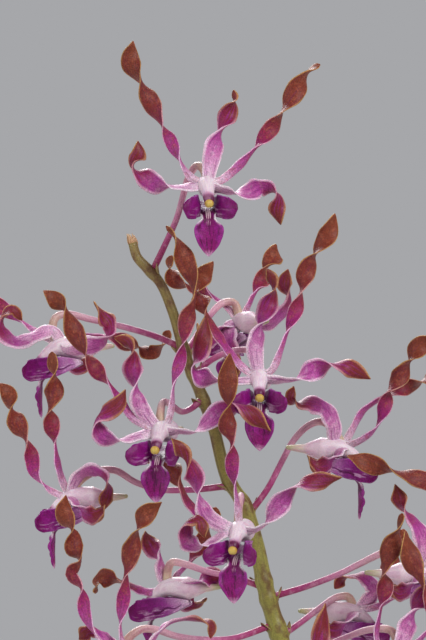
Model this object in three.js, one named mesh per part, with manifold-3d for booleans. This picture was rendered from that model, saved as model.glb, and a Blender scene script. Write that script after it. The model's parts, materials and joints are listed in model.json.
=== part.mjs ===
// A potted antelope dendrobium orchid, in millimetres, +Z up, with the origin under the middle of the pot.
// A clay pot of bark holds a rhizome with roots, five canes and one arching spray of fifteen blooms.
// Each bloom has five twisted tepals, a three-lobed lip, a column with its anther cap and a long stalk.
import * as THREE from "three";
import { mergeVertices } from "three/addons/utils/BufferGeometryUtils.js";
import Module from "manifold-3d";

const wasm = await Module();
wasm.setup();

// Driving dimensions
const GAP = 0.3; // clearance between two pieces that touch
const POT = {
  height: 116, topRadius: 62, neckRadius: 57, footRadius: 44, rim: 20, wall: 5.5, floor: 7, sides: 20,
};
const DRAIN = { count: 3, radius: 6, orbit: 24 };
const BARK = { top: 100, chips: 4, length: 24, width: 15, thickness: 6 };
const BLADE = 0.8; // thickness of a tepal or lip lobe
const BEND_ROOM = 0.6; // share of a bend's radius that a blade may reach into
const PETAL = { width: 7.4, steps: 10 };
const SEPAL = { width: 7.8, steps: 6 };
const STALK = { radius: 1.1, steps: 5, sides: 4 };
const STEM = { sides: 6, steps: 26 };
const CANE = { sides: 7, steps: 6 };
const ROOT = { sides: 4, steps: 4 };
const CAP_RADIUS = 1.6;
const LIP = { midWidth: 10.4, sideWidth: 7.8 };
const LEAF = { length: 88, width: 25, thickness: 1.6, keel: 2.4, steps: 4 };

// Width along a blade, as [share of its length, share of its full width]
const PROFILES = {
  petal: [[0, 0.36], [0.16, 0.44], [0.35, 0.66], [0.58, 0.88], [0.8, 1], [0.9, 0.9], [0.96, 0.6], [1, 0.12]],
  sepal: [[0, 0.5], [0.14, 0.66], [0.38, 1], [0.62, 0.98], [0.85, 0.8], [0.94, 0.46], [1, 0.08]],
  midlobe: [[0, 0.4], [0.14, 0.74], [0.42, 0.74], [0.55, 0.46], [0.63, 0.96], [0.68, 1], [0.86, 0.6],
    [1, 0.06]],
  sidelobe: [[0, 0.2], [0.2, 0.6], [0.42, 0.92], [0.64, 1], [0.86, 0.98], [0.94, 0.72], [1, 0.34]],
  leaf: [[0, 0.3], [0.1, 0.46], [0.35, 0.94], [0.6, 1], [0.85, 0.72], [0.96, 0.36], [1, 0.08]],
};

const material = (color, roughness) => new THREE.MeshStandardMaterial({ color, roughness, metalness: 0 });
const MATERIALS = {
  tepals: material(0xc873a4, 0.5),
  lip: material(0x86207c, 0.45),
  cap: material(0xe2c24c, 0.5),
  stem: material(0x7c7434, 0.5),
  cane: material(0x73863f, 0.45),
  oldCane: material(0x9c8f5c, 0.6),
  roots: material(0xb9b49c, 0.7),
  bark: material(0x6e452b, 0.9),
  pot: material(0xb3683f, 0.85),
};

// Routes are lists of [x, y, z, turn]: y runs away from the viewer, and turn counts half-turns of a blade's
// twist, so that a blade shows its face at 0 and 1 and its edge at 0.5 and 1.5.

// The spray's stem from its cane up to the dry cut tip, as [x, y, z, radius]
const STEM_ROUTE = [
  [27, 3, 262, 3.4], [22, 0.5, 284, 3.4], [16, 0, 318, 3.3], [9, 0, 358, 3.2], [2, 0, 396, 3.15],
  [-6.6, 0, 429, 3.1], [-11.9, 0, 447.5, 2.9], [-15.4, 0, 464, 2.7], [-19.5, 0, 477, 2.5],
  [-25.6, 0, 487, 2.3], [-30.2, 0, 504, 2.1], [-34.6, 0, 516, 2.1], [-39.6, 0, 528, 2], [-44.6, 0, 545, 1.8],
  [-49, 0, 555, 1.7], [-53.4, 0, 560, 1.8], [-57, 0, 564, 1.7], [-58.6, 0, 569, 1.6],
];

// The two lower sepals of a bloom seen from its side, which faces right
const SIDE_LATERALS = [
  [[0, -1, -1, 0.2], [-0.5, -5, -1.6, 0.3], [-2.4, -8.4, -4.4, 0.5], [-6, -10.4, -6.6, 0.8],
    [-9.5, -11, -6, 1.2], [-12, -10.5, -3, 1.5]],
  [[0, 1, -1, 0.2], [-0.5, 5, -0.8, 0.35], [-2, 9.4, -4, 0.5], [-5, 12, -7, 0.8], [-9, 14, -6.5, 1.2],
    [-12, 14, -3, 1.5]],
];
const mirrored = (routes) => routes.map((route) => route.map(([x, y, z, turn]) => [-x, y, z, -turn]));

// The tepals of a bloom on the lower part of the spray, which faces the viewer until it is turned
const OPEN_BLOOM = {
  dorsal: [[0, 0.5, -1, 0], [0.6, 1.5, 6, 0], [1, 3, 13, 0.15], [0.4, 4, 18.5, 0.5], [2, 5, 25, 1],
    [1, 5, 31, 1.6]],
  petals: [
    [[-1, 0.5, 0, 0], [-5, 1, 2, 0.1], [-9.5, 2, 8, 0.5], [-13, 3, 15, 1], [-16, 4, 22, 1.5],
      [-20, 5, 28, 2], [-22, 6, 34, 2.5], [-24, 6, 39, 3]],
    [[1, 0.5, 0, 0], [5, 1, 2, 0.1], [10, 2, 7, 0.5], [15, 3, 13, 1], [18, 4, 20, 1.5], [22, 5, 26, 2],
      [25, 5, 33, 2.5], [28, 5, 37, 3]],
  ],
  laterals: [
    [[-1, 0, -1, 0.15], [-7, -1, -2, 0.35], [-13, -1.5, -1.5, 0.5], [-19, -2, 1, 1], [-24, -1, 2, 1.5],
      [-30, 0, 0, 2.1]],
    [[1, 0, -1, 0.15], [7, -1, -2.4, 0.35], [13, -1.5, -2.6, 0.5], [19, -2, -1, 1], [24, -1.5, 2, 1.5],
      [28, 0, 7, 2.1]],
  ],
};

// The blooms: hub is the point where the tepals meet, yaw turns the column and lip about Z (0 faces the
// viewer), whole turns every route with them, and mentum is how far the chin leans to the side.
const BLOOMS = [
  {
    hub: [-32.6, -14, 589.6], yaw: 6, mentum: 4,
    dorsal: [[0.3, 0.5, -1, 0], [1.2, 1.5, 6, 0], [2.6, 3, 13, 0.15], [4.4, 4, 18.5, 0.5], [7.5, 5, 24, 1],
      [10, 5.5, 28.5, 1.5], [9.3, 5.5, 32.6, 1.9]],
    petals: [
      [[-1, 0.5, 0, 0], [-5, 1, 1.5, 0.1], [-8.8, 1.5, 6.5, 0.4], [-12, 2.5, 13.5, 1],
        [-15.2, 4, 20.3, 1.5], [-19.3, 5, 28, 2], [-23.3, 6, 35.3, 2.5], [-26.6, 6, 42.5, 3],
        [-25.7, 6, 49.7, 3.4]],
      [[1, 0.5, 0, 0], [5, 1, 1, 0], [11.5, 2, 6.5, 0.2], [16.7, 3, 12.3, 0.5], [21.5, 4, 18, 1],
        [26.5, 5, 24.5, 1.5], [30.8, 5.5, 32, 2], [35, 6, 39, 2.5], [39.5, 6, 41.5, 2.8]],
    ],
    laterals: [
      [[-1, 0, -1, 0.15], [-7, -1, -1.6, 0.35], [-12, -1.5, -1.8, 0.45], [-17, -2, -1, 0.8],
        [-21.5, -2.5, 2, 1.1], [-25, -1.5, 5.5, 1.5], [-23.8, 1, 10, 2], [-24, 2, 14.7, 2.3]],
      [[1, 0, -1, 0.15], [5, -0.5, -2.2, 0.3], [8.5, -1, -2.9, 0.4], [14, -1.5, -3, 0.8],
        [19.5, -2, -1.6, 1.1], [23.6, -1.5, -4, 1.5], [24.4, 0, -9, 2], [25.7, 1, -14.5, 2.3]],
    ],
    stalk: [[-18.5, 14, -29.4], [-14, 12.5, -20], [-10.5, 12, -12], [-8.5, 11.5, -5], [-6.5, 10, 2],
      [-3.5, 7, 6.2], [-1, 3.5, 4.5], [0, 1.5, 0.5]],
  },
  {
    hub: [-14.4, -20, 522.4], yaw: 0, mentum: 2,
    dorsal: [[0, 0.5, -1, 0], [-1, 1.5, 5, 0], [-1.5, 2.5, 10, 0.1], [-0.6, 3.5, 14.5, 0.25],
      [0, 4, 18, 0.5], [3.2, 5, 24.5, 1], [5.5, 5.5, 30, 1.5], [4.5, 5, 34, 1.8], [2.5, 4, 37.5, 2.2]],
    petals: [
      [[-1, 0.5, 0, 0.1], [-5, 2, 2.5, 0.15], [-10.5, 4, 8.5, 0.3], [-15.5, 6, 16, 0.3],
        [-19, 7.5, 22.5, 0.5], [-20.2, 8, 26, 1], [-21, 8.5, 29.5, 1.5], [-19.8, 8.5, 34.5, 2],
        [-16, 8, 40, 2.4]],
      [[1, 0.5, 0, 0.1], [4.5, 1, 2.5, 0.15], [7.3, 2, 9, 0.3], [9.7, 3, 15.9, 0.5], [12.5, 4, 22.5, 1],
        [14.9, 4.5, 29.2, 1.5], [16.2, 5, 36, 2], [19.1, 5, 42.8, 2.5], [24, 5, 49.5, 3],
        [26.3, 5, 56.6, 3.4]],
    ],
    laterals: [
      [[-1, 0, -1, 0.15], [-7, -0.5, -1.6, 0.35], [-14, -1, -1.6, 0.5], [-19, -1.5, -0.6, 0.9],
        [-22.5, -1.5, 2.4, 1.4], [-20.6, -0.5, 6.5, 1.7], [-19.5, 0, 12.5, 2], [-18.7, 1, 21, 2.3]],
      [[1, 0, -1, 0.15], [7, -1, -1, 0.35], [12, -1.5, -0.6, 0.45], [19, -2, 2.4, 1], [25.5, -2, 3.6, 1.5],
        [32, -1.5, 2.6, 2], [38.5, -1, -0.8, 2.3]],
    ],
    stalk: [[-23.5, 20, 0], [-16, 18, 6], [-8, 14, 9], [-2, 9, 8.5], [0, 4.5, 5], [0, 1.5, 0.5]],
  },
  {
    hub: [-48.6, -27, 504.6], yaw: -13, mentum: 3,
    dorsal: [[0, 0.5, -1, 0], [-3.5, 1, 2.5, 0], [-7, 2, 7.5, 0.1], [-9, 3, 14.5, 0.5],
      [-9.6, 3.5, 20.5, 1], [-9, 4, 26.5, 1.5], [-11.5, 4, 30, 1.8], [-16, 3.5, 31.3, 2.1]],
    petals: [
      [[-1, 0.5, -0.5, 0.1], [-5.5, 1, 1.2, 0.15], [-10, 1.5, 4, 0.2], [-14, 2.5, 9.8, 0.25],
        [-18, 3, 15.3, 0.5], [-22, 3.5, 20, 1], [-25.4, 4, 25.4, 1.5], [-29.6, 4.5, 33, 2],
        [-32.9, 5, 40.5, 2.5], [-36.5, 5, 44.5, 3], [-40.5, 5, 47.6, 3.4]],
      [[1, 0.5, 0, 0.1], [3, 1, 3.5, 0.2], [4, 2, 9, 0.3], [4.3, 3, 15, 0.5], [6.4, 4, 22, 1],
        [8.1, 5, 29, 1.5], [9, 6, 37, 2], [11.2, 7, 44, 2.5], [11.3, 7.5, 50, 2.6], [8.3, 8, 58.5, 3],
        [5.4, 8, 66, 3.5], [1.9, 8, 70, 3.8]],
    ],
    laterals: [
      [[-1, 0, -1, 0.15], [-8, -0.5, -2.8, 0.3], [-14.5, -1.5, -4.6, 0.5], [-20, -3, -2.6, 1],
        [-21.5, -4, 2.3, 1.5], [-18, -4.5, 5.5, 1.8], [-14.5, -4.5, 8.5, 2], [-12, -4, 13.5, 2.3]],
      [[1, 0, -1, 0.15], [6, -1, -0.8, 0.35], [11, -2.5, -0.8, 0.45], [16.5, -4, 2.6, 0.8], [21, -5, 6, 1],
        [27, -6.8, 7.5, 1.5], [32.5, -8, 4, 2], [38, -8, -0.8, 2.4]],
    ],
    stalk: [[14.6, 27, 10], [10.5, 22.5, 6.5], [7, 17.5, 5.5], [3.5, 12.5, 8], [1, 8, 9], [0, 4, 5.5],
      [0, 1.5, 0.5]],
  },
  {
    hub: [-21.7, -37, 470.6], yaw: -15, mentum: 0,
    dorsal: [[0, 0.5, -1, 0], [-5.5, 0, 0.8, 0.1], [-11, -0.5, 4.6, 0.15], [-14.5, -1.5, 12, 0.5],
      [-15.2, -3.4, 17.8, 1], [-17.2, -6, 23.3, 1.5], [-20, -8.4, 27.6, 2], [-23, -9.4, 31, 2.4]],
    petals: [
      [[-1, 1, 0, 0.1], [-6, 5, 0.8, 0.2], [-12.5, 9, 3, 0.3], [-18, 13, 9.4, 0.35],
        [-20.3, 16, 14.7, 0.5], [-22.5, 18.5, 19, 1], [-26, 21, 23, 1.5], [-31, 22, 25, 2],
        [-35.5, 22, 27, 2.4]],
      [[0.5, 0.5, 0, 0.1], [0, 0, 4, 0.2], [-0.6, -1, 9, 0.3], [-1.5, -1.5, 14.5, 0.5],
        [-2.2, -2, 21.5, 1], [-2, -2.5, 29, 1.5], [-3.8, -3, 35.3, 2], [-3.5, -3, 41.5, 2.5],
        [-3.6, -3, 51, 3], [-3, -2.5, 60, 3.4]],
    ],
    laterals: [
      [[-1, 0, -1, 0.15], [-4.4, -0.5, -1.6, 0.3], [-8.6, -1, -4.4, 0.35], [-14, -2, -6.8, 0.6],
        [-18, -3.5, -3.4, 1.1], [-17, -5, 2, 1.5], [-13.4, -6.5, 2.6, 1.8], [-11.6, -7.5, -3, 2.2]],
      [[1, 0, -1, 0.15], [5.5, -0.5, -0.5, 0.35], [9, -1, 1.8, 0.5], [14, -1.5, 8, 1], [20, -1, 13.8, 1.5],
        [28, 0, 16.2, 2], [35.5, 1, 17.4, 2.4]],
    ],
    stalk: [[0.4, 37, 7], [1, 28, 8], [1, 19, 10.5], [0.6, 10, 10], [0, 4.5, 5.5], [0, 1.5, 0.5]],
  },
  {
    hub: [-84.7, 2, 533.3], yaw: -90, mentum: 0,
    dorsal: [[1, 0, 1, 0.1], [-2, -2, 5, 0.1], [-8, -4, 2.8, 0.3], [-14.5, -5, 0.8, 0.3],
      [-19.4, -5.5, 4.2, 0.3], [-19.8, -5.5, 9.5, 0.5], [-15.8, -5, 12.4, 0.8], [-12.5, -4.5, 8.5, 1.2]],
    petals: [
      [[-1, 2, 1, 0.1], [-7, 5, 4, 0.2], [-13, 8, 8, 0.5], [-20, 10, 13, 1], [-27, 11, 18, 1.5],
        [-33, 11, 24, 2], [-38, 10, 31, 2.5], [-41, 9, 39, 2.9]],
      [[1, 2, 1, 0.1], [8, 6, 3, 0.3], [16, 10, 3, 0.5], [23, 12, 1, 1], [28, 13, -1.5, 1.5],
        [32, 13, -3, 2], [36, 13, 0, 2.5], [39, 12, 5, 2.9]],
    ],
    laterals: [
      [[0, -1, -1, 0.2], [4, -4, -2, 0.3], [10, -6, -0.5, 0.1], [15.5, -7, 1.5, 0.3], [18.2, -7, 6, 0.9],
        [16, -6.5, 10.5, 1.3], [12.6, -6, 15.3, 1.6]],
      mirrored(SIDE_LATERALS)[1],
    ],
    stalk: [[43, -2, -0.7], [34, 3, 3], [22, 6, 6.5], [11, 6, 9], [3, 4, 10.8], [-1, 2, 9.5], [-2, 1, 5],
      [0, 0.5, 0.5]],
  },
  {
    hub: [-79.8, -12, 481.1], yaw: -90, mentum: 0,
    dorsal: [[0.5, 0, -0.5, 0.1], [0.8, -1, 3, 0.15], [3.4, -2, 7.4, 0.3], [8.4, -3, 8.9, 0.3],
      [12.6, -4, 6.4, 0.4], [13.4, -5, 2.4, 0.6], [12, -5.5, -1.6, 0.9], [11.4, -5.5, -5, 1.1]],
    petals: [
      [[-1, 0, -1, 0.1], [-5, -1, 0.5, 0.2], [-9, -2, 3, 0.4], [-12.6, -3, 7.4, 0.8],
        [-13.4, -3.5, 12.5, 1], [-15, -4, 18.9, 1.5], [-18.5, -4, 24.9, 2], [-21, -4, 30, 2.5],
        [-21.5, -3.5, 35, 3], [-25, -3, 39, 3.4]],
      [[-0.5, 0, 0, 0.1], [-2.5, -1, 3.6, 0.2], [-4.4, -2, 10, 0.3], [-5.8, -3, 17.9, 0.5],
        [-6.6, -3.5, 24, 1], [-7, -4, 29.9, 1.5], [-5.8, -4.5, 36, 2], [-6, -5, 41.4, 2.5],
        [-6.5, -5, 49.9, 2.9]],
    ],
    laterals: mirrored(SIDE_LATERALS),
    stalk: [[54.4, 12, 2.8], [42, 9, 1.6], [30, 7, 1.8], [22, 5.5, 4.5], [15, 3.5, 8.6], [8, 1.5, 8],
      [3, 0.5, 5], [0, 0, 0.5]],
  },
  {
    hub: [14.7, -4, 497.9], yaw: 90, mentum: 0,
    dorsal: [[-0.5, 0, -0.5, 0.1], [-2.6, -1, 2.5, 0.1], [-3.1, -2, 7.3, 0.15], [-6, -3, 12.6, 0.25],
      [-11, -3.5, 14.7, 0.2], [-15.6, -4, 14.4, 0.4], [-18.2, -4, 16.6, 0.9], [-17, -3.5, 21, 1.3]],
    petals: [
      [[0.5, -1, 0, 0.1], [6, -2, 2, 0.2], [11, -3, 6, 0.4], [14, -4, 12, 0.8], [16.5, -4.5, 19.6, 1.5],
        [20, -5, 24.5, 2], [23, -5, 30, 2.5], [27, -5, 35, 3], [33, -5, 38, 3.4]],
      [[0.5, 1, 0.5, 0.1], [3.6, 2, 6, 0.2], [7, 3, 12, 0.3], [11.5, 4, 15.5, 0.4], [16, 5, 18, 0.5],
        [22, 6, 20.5, 1], [28, 6.5, 22, 1.5], [34, 6.5, 25, 2], [39, 6, 30, 2.5], [43, 5.5, 36, 2.9]],
    ],
    laterals: SIDE_LATERALS,
    stalk: [[-31.5, 4, -22.4], [-26, 6, -15], [-21, 7, -5.5], [-17, 6, 1.8], [-12, 4, 7], [-7.5, 2, 8.6],
      [-3.5, 1, 6.5], [0, 0.5, 0.5]],
  },
  {
    hub: [-21, 20, 542], yaw: -150, mentum: 0,
    dorsal: [[0, 0, 0, 0], [3, -2, 1, 0.1], [8, -4, -1.5, 0.2], [13.5, -5, 1.5, 0.3], [17, -5, 7, 0.4],
      [15.8, -4.5, 12.5, 0.8], [17, -4, 18, 1.2]],
    petals: [
      [[-1, 0, 0, 0.1], [-4, 2, 4, 0.3], [-10, 6, 8.5, 0.5], [-14.5, 9, 11.5, 1], [-18.5, 11, 13, 1.5],
        [-23, 13, 14.5, 2], [-25.5, 13, 18, 2.5], [-24, 12, 23, 2.8]],
      [[1, 1, 0, 0.1], [3, 3, 5, 0.3], [5.5, 6, 10, 0.5], [8, 9, 14, 1], [10, 12, 18, 1.5],
        [12, 15, 22, 2], [13, 18, 27, 2.5]],
    ],
    laterals: [
      [[-1, -1, -1, 0.2], [-5, -4, -2.6, 0.4], [-9, -7, -6, 0.8], [-13, -8, -6, 1.2], [-15, -8, -1, 1.6]],
      [[-0.5, -1, -1, 0.1], [-3.4, -4, -2.5, 0.15], [-4.2, -7, -7, 0.2], [-3, -8.5, -12, 0.2],
        [-0.5, -9, -19.5, 0.3]],
    ],
    stalk: [[-18.5, -20, -10.5], [-15.5, -12, -6], [-11, -5, 1], [-6, 0, 6], [-2, 1, 6], [0, 0, 0.5]],
  },
  {
    hub: [-46.5, 14, 448.5], yaw: -100, mentum: 0,
    dorsal: [[-0.5, 1, 0, 0.1], [-2, 2, 4, 0.2], [-3, 4, 9, 0.5], [-6, 6, 14, 1], [-8, 8, 19, 1.5]],
    petals: [
      [[-1, 0, 0, 0.1], [-5, 0, -2.5, 0.2], [-9, 0, -2, 0.3], [-14, 0, 0, 0.4], [-18, 0, 1.5, 0.6],
        [-21.6, 0, 2.5, 1], [-25, 0, 1.6, 1.3], [-25.5, 0, -3, 1.7]],
      [[1, 2, 0, 0.1], [4, 6, 4, 0.3], [8, 10, 8, 0.5], [12, 13, 14, 1], [15, 15, 20, 1.5],
        [17, 16, 27, 2]],
    ],
    laterals: [
      [[0, -1, -2, 0.1], [5, -2, -1, 0.2], [10, -3, 1.5, 0.4], [14, -3, 3, 0.8], [19, -3, 2, 1.3],
        [23, -3, -2, 1.8]],
      [[0, 1, -1, 0.2], [1.5, 5.4, -1.6, 0.4], [5, 8, -5, 0.7], [9.5, 8, -7.5, 1.2], [14, 6.5, -5, 1.7]],
    ],
    stalk: [[31.8, -14, 0.7], [24, -9, 3], [14, -4, 5], [6, -1, 7.5], [1.5, 0, 8], [0, 0.5, 4.5],
      [0, 0, 0.5]],
  },
  {
    hub: [-63.7, -34, 425.8], yaw: 0, mentum: 0,
    dorsal: [[0, 0.5, 0, 0.1], [-2, 1.5, 4, 0.2], [-5.5, 3, 8, 0.4], [-9.5, 5, 9, 0.9], [-13, 6, 6, 1.3]],
    petals: [
      [[-0.5, 0, 0, 0.1], [-4, 0, 4.6, 0.3], [-8, 0, 9.4, 0.6], [-11, 0.5, 16.4, 1], [-11.6, 1, 24, 1.5],
        [-15.6, 1.5, 29, 2], [-12.8, 1.5, 33.4, 2.5], [-14.6, 1.5, 38, 3], [-14.6, 1.5, 44, 3.5],
        [-18, 1.5, 49.8, 4], [-17.4, 1.5, 56, 4.4]],
      [[1, 0, 0, 0.1], [2.4, -0.5, 3.6, 0.2], [1.6, -1, 7.5, 0.35], [1.2, -2, 11.9, 0.5],
        [2.4, -3, 19.5, 1], [3.5, -4, 28.7, 1.5], [5.2, -5.5, 37, 2], [6.9, -7, 44.5, 2.5],
        [10.6, -8, 50, 3], [15.7, -8.5, 53.9, 3.4]],
    ],
    laterals: [
      [[-1, 0, -1, 0.15], [-6, -1, -2.2, 0.3], [-12, -2, -4, 0.5], [-17, -2, -3, 1], [-20, -1, 0, 1.5],
        [-20, 0, 5, 1.9]],
      [[1, 0, -1, 0.15], [6, -1, 0.5, 0.3], [11, -2, 4.6, 0.4], [14.6, -3, 10, 0.5],
        [19.6, -3.5, 13.4, 0.5], [27, -4, 14, 0.4], [32.6, -4, 12, 0.6], [32.4, -4, 7, 1.1]],
    ],
    stalk: [[53.9, 34, 9.4], [39.2, 24, 5.2], [21.7, 12, 6.6], [13, 7, 9.5], [8, 4, 9.5], [3.5, 2, 6],
      [0, 0.5, 0.5]],
  },
  {
    hub: [42, -10, 454.5], yaw: 90, mentum: 0,
    dorsal: [[0, 0, 0, 0.1], [0.4, -1, 5, 0.1], [0.6, -2, 10.5, 0.15], [-2.4, -3, 16.5, 0.3],
      [-6.6, -3.5, 21.3, 0.5], [-8, -3.5, 26.3, 1], [-9.2, -3.5, 30.5, 1.4]],
    petals: [
      [[0.5, -1, 0, 0.1], [4, -2, 6, 0.2], [8, -3, 13, 0.5], [10.4, -4, 20, 1], [8.6, -5, 27, 1.5],
        [3, -6, 31, 2], [-3.2, -6.5, 32.9, 2.2], [-9.8, -7, 34.6, 2.5], [-18, -7.5, 37.6, 3],
        [-26.2, -8, 40.6, 3.4]],
      [[0.5, 1, 0.5, 0.1], [6, 2, 4, 0.3], [11, 3, 10, 0.5], [14, 4, 17, 1], [19, 5, 22, 1.5],
        [25, 5.5, 26, 2], [29, 5.5, 32, 2.5], [34, 5, 37, 2.9]],
    ],
    laterals: SIDE_LATERALS,
    stalk: [[-52.6, 10, -9.6], [-39, 8, -5.4], [-28, 6, -1], [-22, 5, 2], [-15.2, 3, 5.5], [-9, 1, 8],
      [-4, 0.5, 6], [0, 0.5, 0.5]],
  },
  {
    hub: [19.3, 14, 439.8], yaw: 90, mentum: 0,
    dorsal: [[1, 0, 0, 0.1], [4.5, -1, 3, 0.1], [6.6, -1.5, 7, 0.2], [3.5, -2, 11, 0.3],
      [-3.5, -2.5, 11, 0.6], [-7, -2.5, 7.6, 1.1]],
    petals: [
      [[1, -1, 0, 0.1], [7, -1.5, 1, 0.2], [13, -2, 4, 0.5], [18, -2.5, 9, 1], [22, -3, 15, 1.5],
        [27, -3, 20, 2], [31, -3, 26, 2.5]],
      [[1, 1, 0.5, 0.1], [6, 4, 4, 0.3], [10, 7, 9, 0.5], [13, 10, 15, 1], [16, 12, 21, 1.5],
        [18, 13, 28, 2]],
    ],
    laterals: SIDE_LATERALS,
    stalk: [[-25.9, -14, -8.4], [-19, -9, -4], [-12, -4, 1], [-6, -1, 4.5], [-2, 0, 4.5], [0, 0, 0.5]],
  },
  {
    hub: [32.8, -34, 426.5], yaw: 0, mentum: 0,
    dorsal: [[0, 0.5, -1, 0], [1.5, 1, 4, 0], [3.5, 2, 10, 0.1], [5.5, 3, 15.5, 0.5], [8.8, 4, 20, 1],
      [11.2, 4.5, 25, 1.5], [11, 4.5, 30, 1.9]],
    petals: [
      [[-1, 0.5, 0, 0.1], [-4.5, 1, 1.5, 0.2], [-7, 1.5, 6, 0.3], [-6.5, 2, 12, 0.4],
        [-5.5, 2.5, 17.5, 0.5], [-4, 3, 23, 1], [-4.2, 3, 28.5, 1.5], [-2, 3, 37, 2], [0.5, 3, 44, 2.5],
        [2, 3, 49, 2.8]],
      [[1, 0.5, 0, 0.1], [6, 0, 4, 0.2], [11, -0.5, 10, 0.5], [12, -1, 17.6, 1], [9, -1.5, 24.6, 1.5],
        [4.8, -2, 33.6, 2], [2.4, -2, 43, 2.5]],
    ],
    laterals: [
      [[-1, 0, -1, 0.15], [-8, -1, -2.5, 0.35], [-15, -1.5, -4, 0.45], [-21, -2, -4.5, 0.9],
        [-25.6, -2, -1, 1.4], [-26.3, -1, 7, 2], [-24.7, 0, 18.2, 2.4]],
      [[1, 0, -1, 0.15], [7, -1, -2, 0.35], [13, -1.5, -1, 0.5], [19, -2, 2, 1], [25, -1.5, 4, 1.5],
        [31, -1, 2, 2], [36, -1, -2, 2.3]],
    ],
    stalk: [[-38.7, 34, -5.2], [-28, 26, 0], [-18, 18, 5], [-9, 11, 8.5], [-2, 6, 8.5], [0, 3, 5],
      [0, 1.5, 0.5]],
  },
  {
    ...OPEN_BLOOM, hub: [-39, -22, 384], yaw: -40, whole: true, mentum: 0,
    stalk: [[15.5, 42, 16], [12, 32, 12], [9, 22, 11], [4, 12, 11], [0, 5, 7], [0, 1.5, 0.5]],
  },
  {
    ...OPEN_BLOOM, hub: [18, 34, 386], yaw: 165, whole: true, mentum: 0,
    stalk: [[6, 35, 12], [3, 26, 13], [0, 17, 13], [0, 9, 11], [0, 4, 6], [0, 1.5, 0.5]],
  },
];

// The body of a bloom that faces -Y: the spur, the chin, the hub and the column, from back to front, as
// [x, y, z, radius]. The first CHIN_POINTS points lean to the side.
const CORE = [
  [0, 19, -0.4, 0.8], [0, 13.5, -0.8, 1.6], [0, 7.5, -1, 4.1], [0, 0.5, -0.8, 3.3], [0, -3.2, -2.8, 2.3],
  [0, -6.5, -6, 1.8],
];
const CORE_FORM = { sides: 5, steps: 5 };
const CHIN_POINTS = 3;

// The lip's lobes, for a bloom that faces -Y. The middle lobe runs under the chin and hangs in front.
// The right side lobe rises from its edge, stands beside the column and flares at the front, and faces
// along SIDE_FACING.
const MIDLOBE = [
  [0, 8.5, -5.9, 0], [0, 4, -7.4, 0], [0, -0.5, -8.4, 0], [0, -3.8, -9.8, 0], [0, -6, -12.2, 0],
  [0, -7.2, -15, 0], [0, -7.3, -19.5, 0], [0, -6, -25.6, 0],
];
const SIDELOBE = [
  [2.4, 8, -5.9, 0], [3.6, 4, -6.6, 0], [3.7, 0, -7.4, 0], [3.5, -3.5, -7.9, 0], [4.9, -7.2, -8.6, 0],
  [7.2, -10.2, -9, 0], [9.4, -12, -8.5, 0],
];
const SIDE_FACING = [0.78, 0.62, 0];

// The canes: route as [x, y, z, radius], azimuth of the two ranks of leaves, and the shares of the length
// that have a leaf
const CANES = [
  { route: [[16, 2, 102, 4.6], [20, 3, 150, 8], [24, 4, 205, 8.6], [28, 5, 255, 6.4], [31, 6, 292, 3.4]],
    azimuth: 105, leaves: [0.4, 0.52, 0.63, 0.74, 0.84, 0.94] },
  { route: [[1, -7, 102, 4.6], [-7, -13, 145, 7.6], [-18, -19, 190, 7.6], [-30, -25, 232, 3.4]],
    azimuth: 316, leaves: [0.42, 0.58, 0.72, 0.84, 0.94] },
  { route: [[-11, 6, 102, 4.6], [-17, 14, 148, 7.8], [-27, 22, 196, 7.4], [-37, 29, 236, 3.4]],
    azimuth: 135, leaves: [0.44, 0.6, 0.75, 0.92] },
  { route: [[30, -4, 102, 4.4], [40, -10, 138, 7], [52, -16, 174, 6.8], [63, -21, 206, 3.2]],
    azimuth: 26, leaves: [0.4, 0.56, 0.72, 0.9] },
  { route: [[-25, -1, 102, 4.4], [-31, -3, 132, 6.4], [-37, -4, 164, 5.6], [-41, -5, 188, 2.6]],
    azimuth: 0, leaves: [] },
];
// The rhizome lies on the bark, as [x, y, z, radius]. Each root leaves it at an x, to the back or the front.
const RHIZOME = [
  [-32, 0, 101.5, 3.6], [-14, 1.5, 101.5, 5.4], [4, -1, 101.5, 5.6], [22, 0, 101.5, 5.6],
    [36, -4, 101.5, 3.6],
];
const ROOTS = { reach: 17, dive: 14, radius: 1.7, at: [[-20, 1], [-6, -1], [6, 1], [24, -1], [30, 1],
  [-28, -1]] };

const vector = (p) => new THREE.Vector3(p[0], p[1], p[2]);

// A closed three.js geometry as a solid that can be joined and cut.
function solidOf(geometry) {
  geometry.deleteAttribute("normal");
  geometry.deleteAttribute("uv");
  const merged = mergeVertices(geometry, 1e-4);
  return new wasm.Manifold(new wasm.Mesh({
    numProp: 3,
    vertProperties: merged.attributes.position.array,
    triVerts: new Uint32Array(merged.index.array),
  }));
}

const join = (solids) => solids.reduce((all, solid) => all.add(solid));

// The largest body of a solid, without the scraps that a cut leaves.
function mainBody(solid) {
  return solid.decompose().reduce((best, body) => (body.volume() > best.volume() ? body : best));
}

// A solid as a named mesh in its colour.
function meshOf(name, solid, finish) {
  const made = solid.getMesh();
  const geometry = new THREE.BufferGeometry();
  geometry.setAttribute("position", new THREE.BufferAttribute(new Float32Array(made.vertProperties), 3));
  geometry.setIndex(new THREE.BufferAttribute(new Uint32Array(made.triVerts), 1));
  geometry.computeVertexNormals();
  const mesh = new THREE.Mesh(geometry, finish);
  mesh.name = name;
  return mesh;
}

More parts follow.
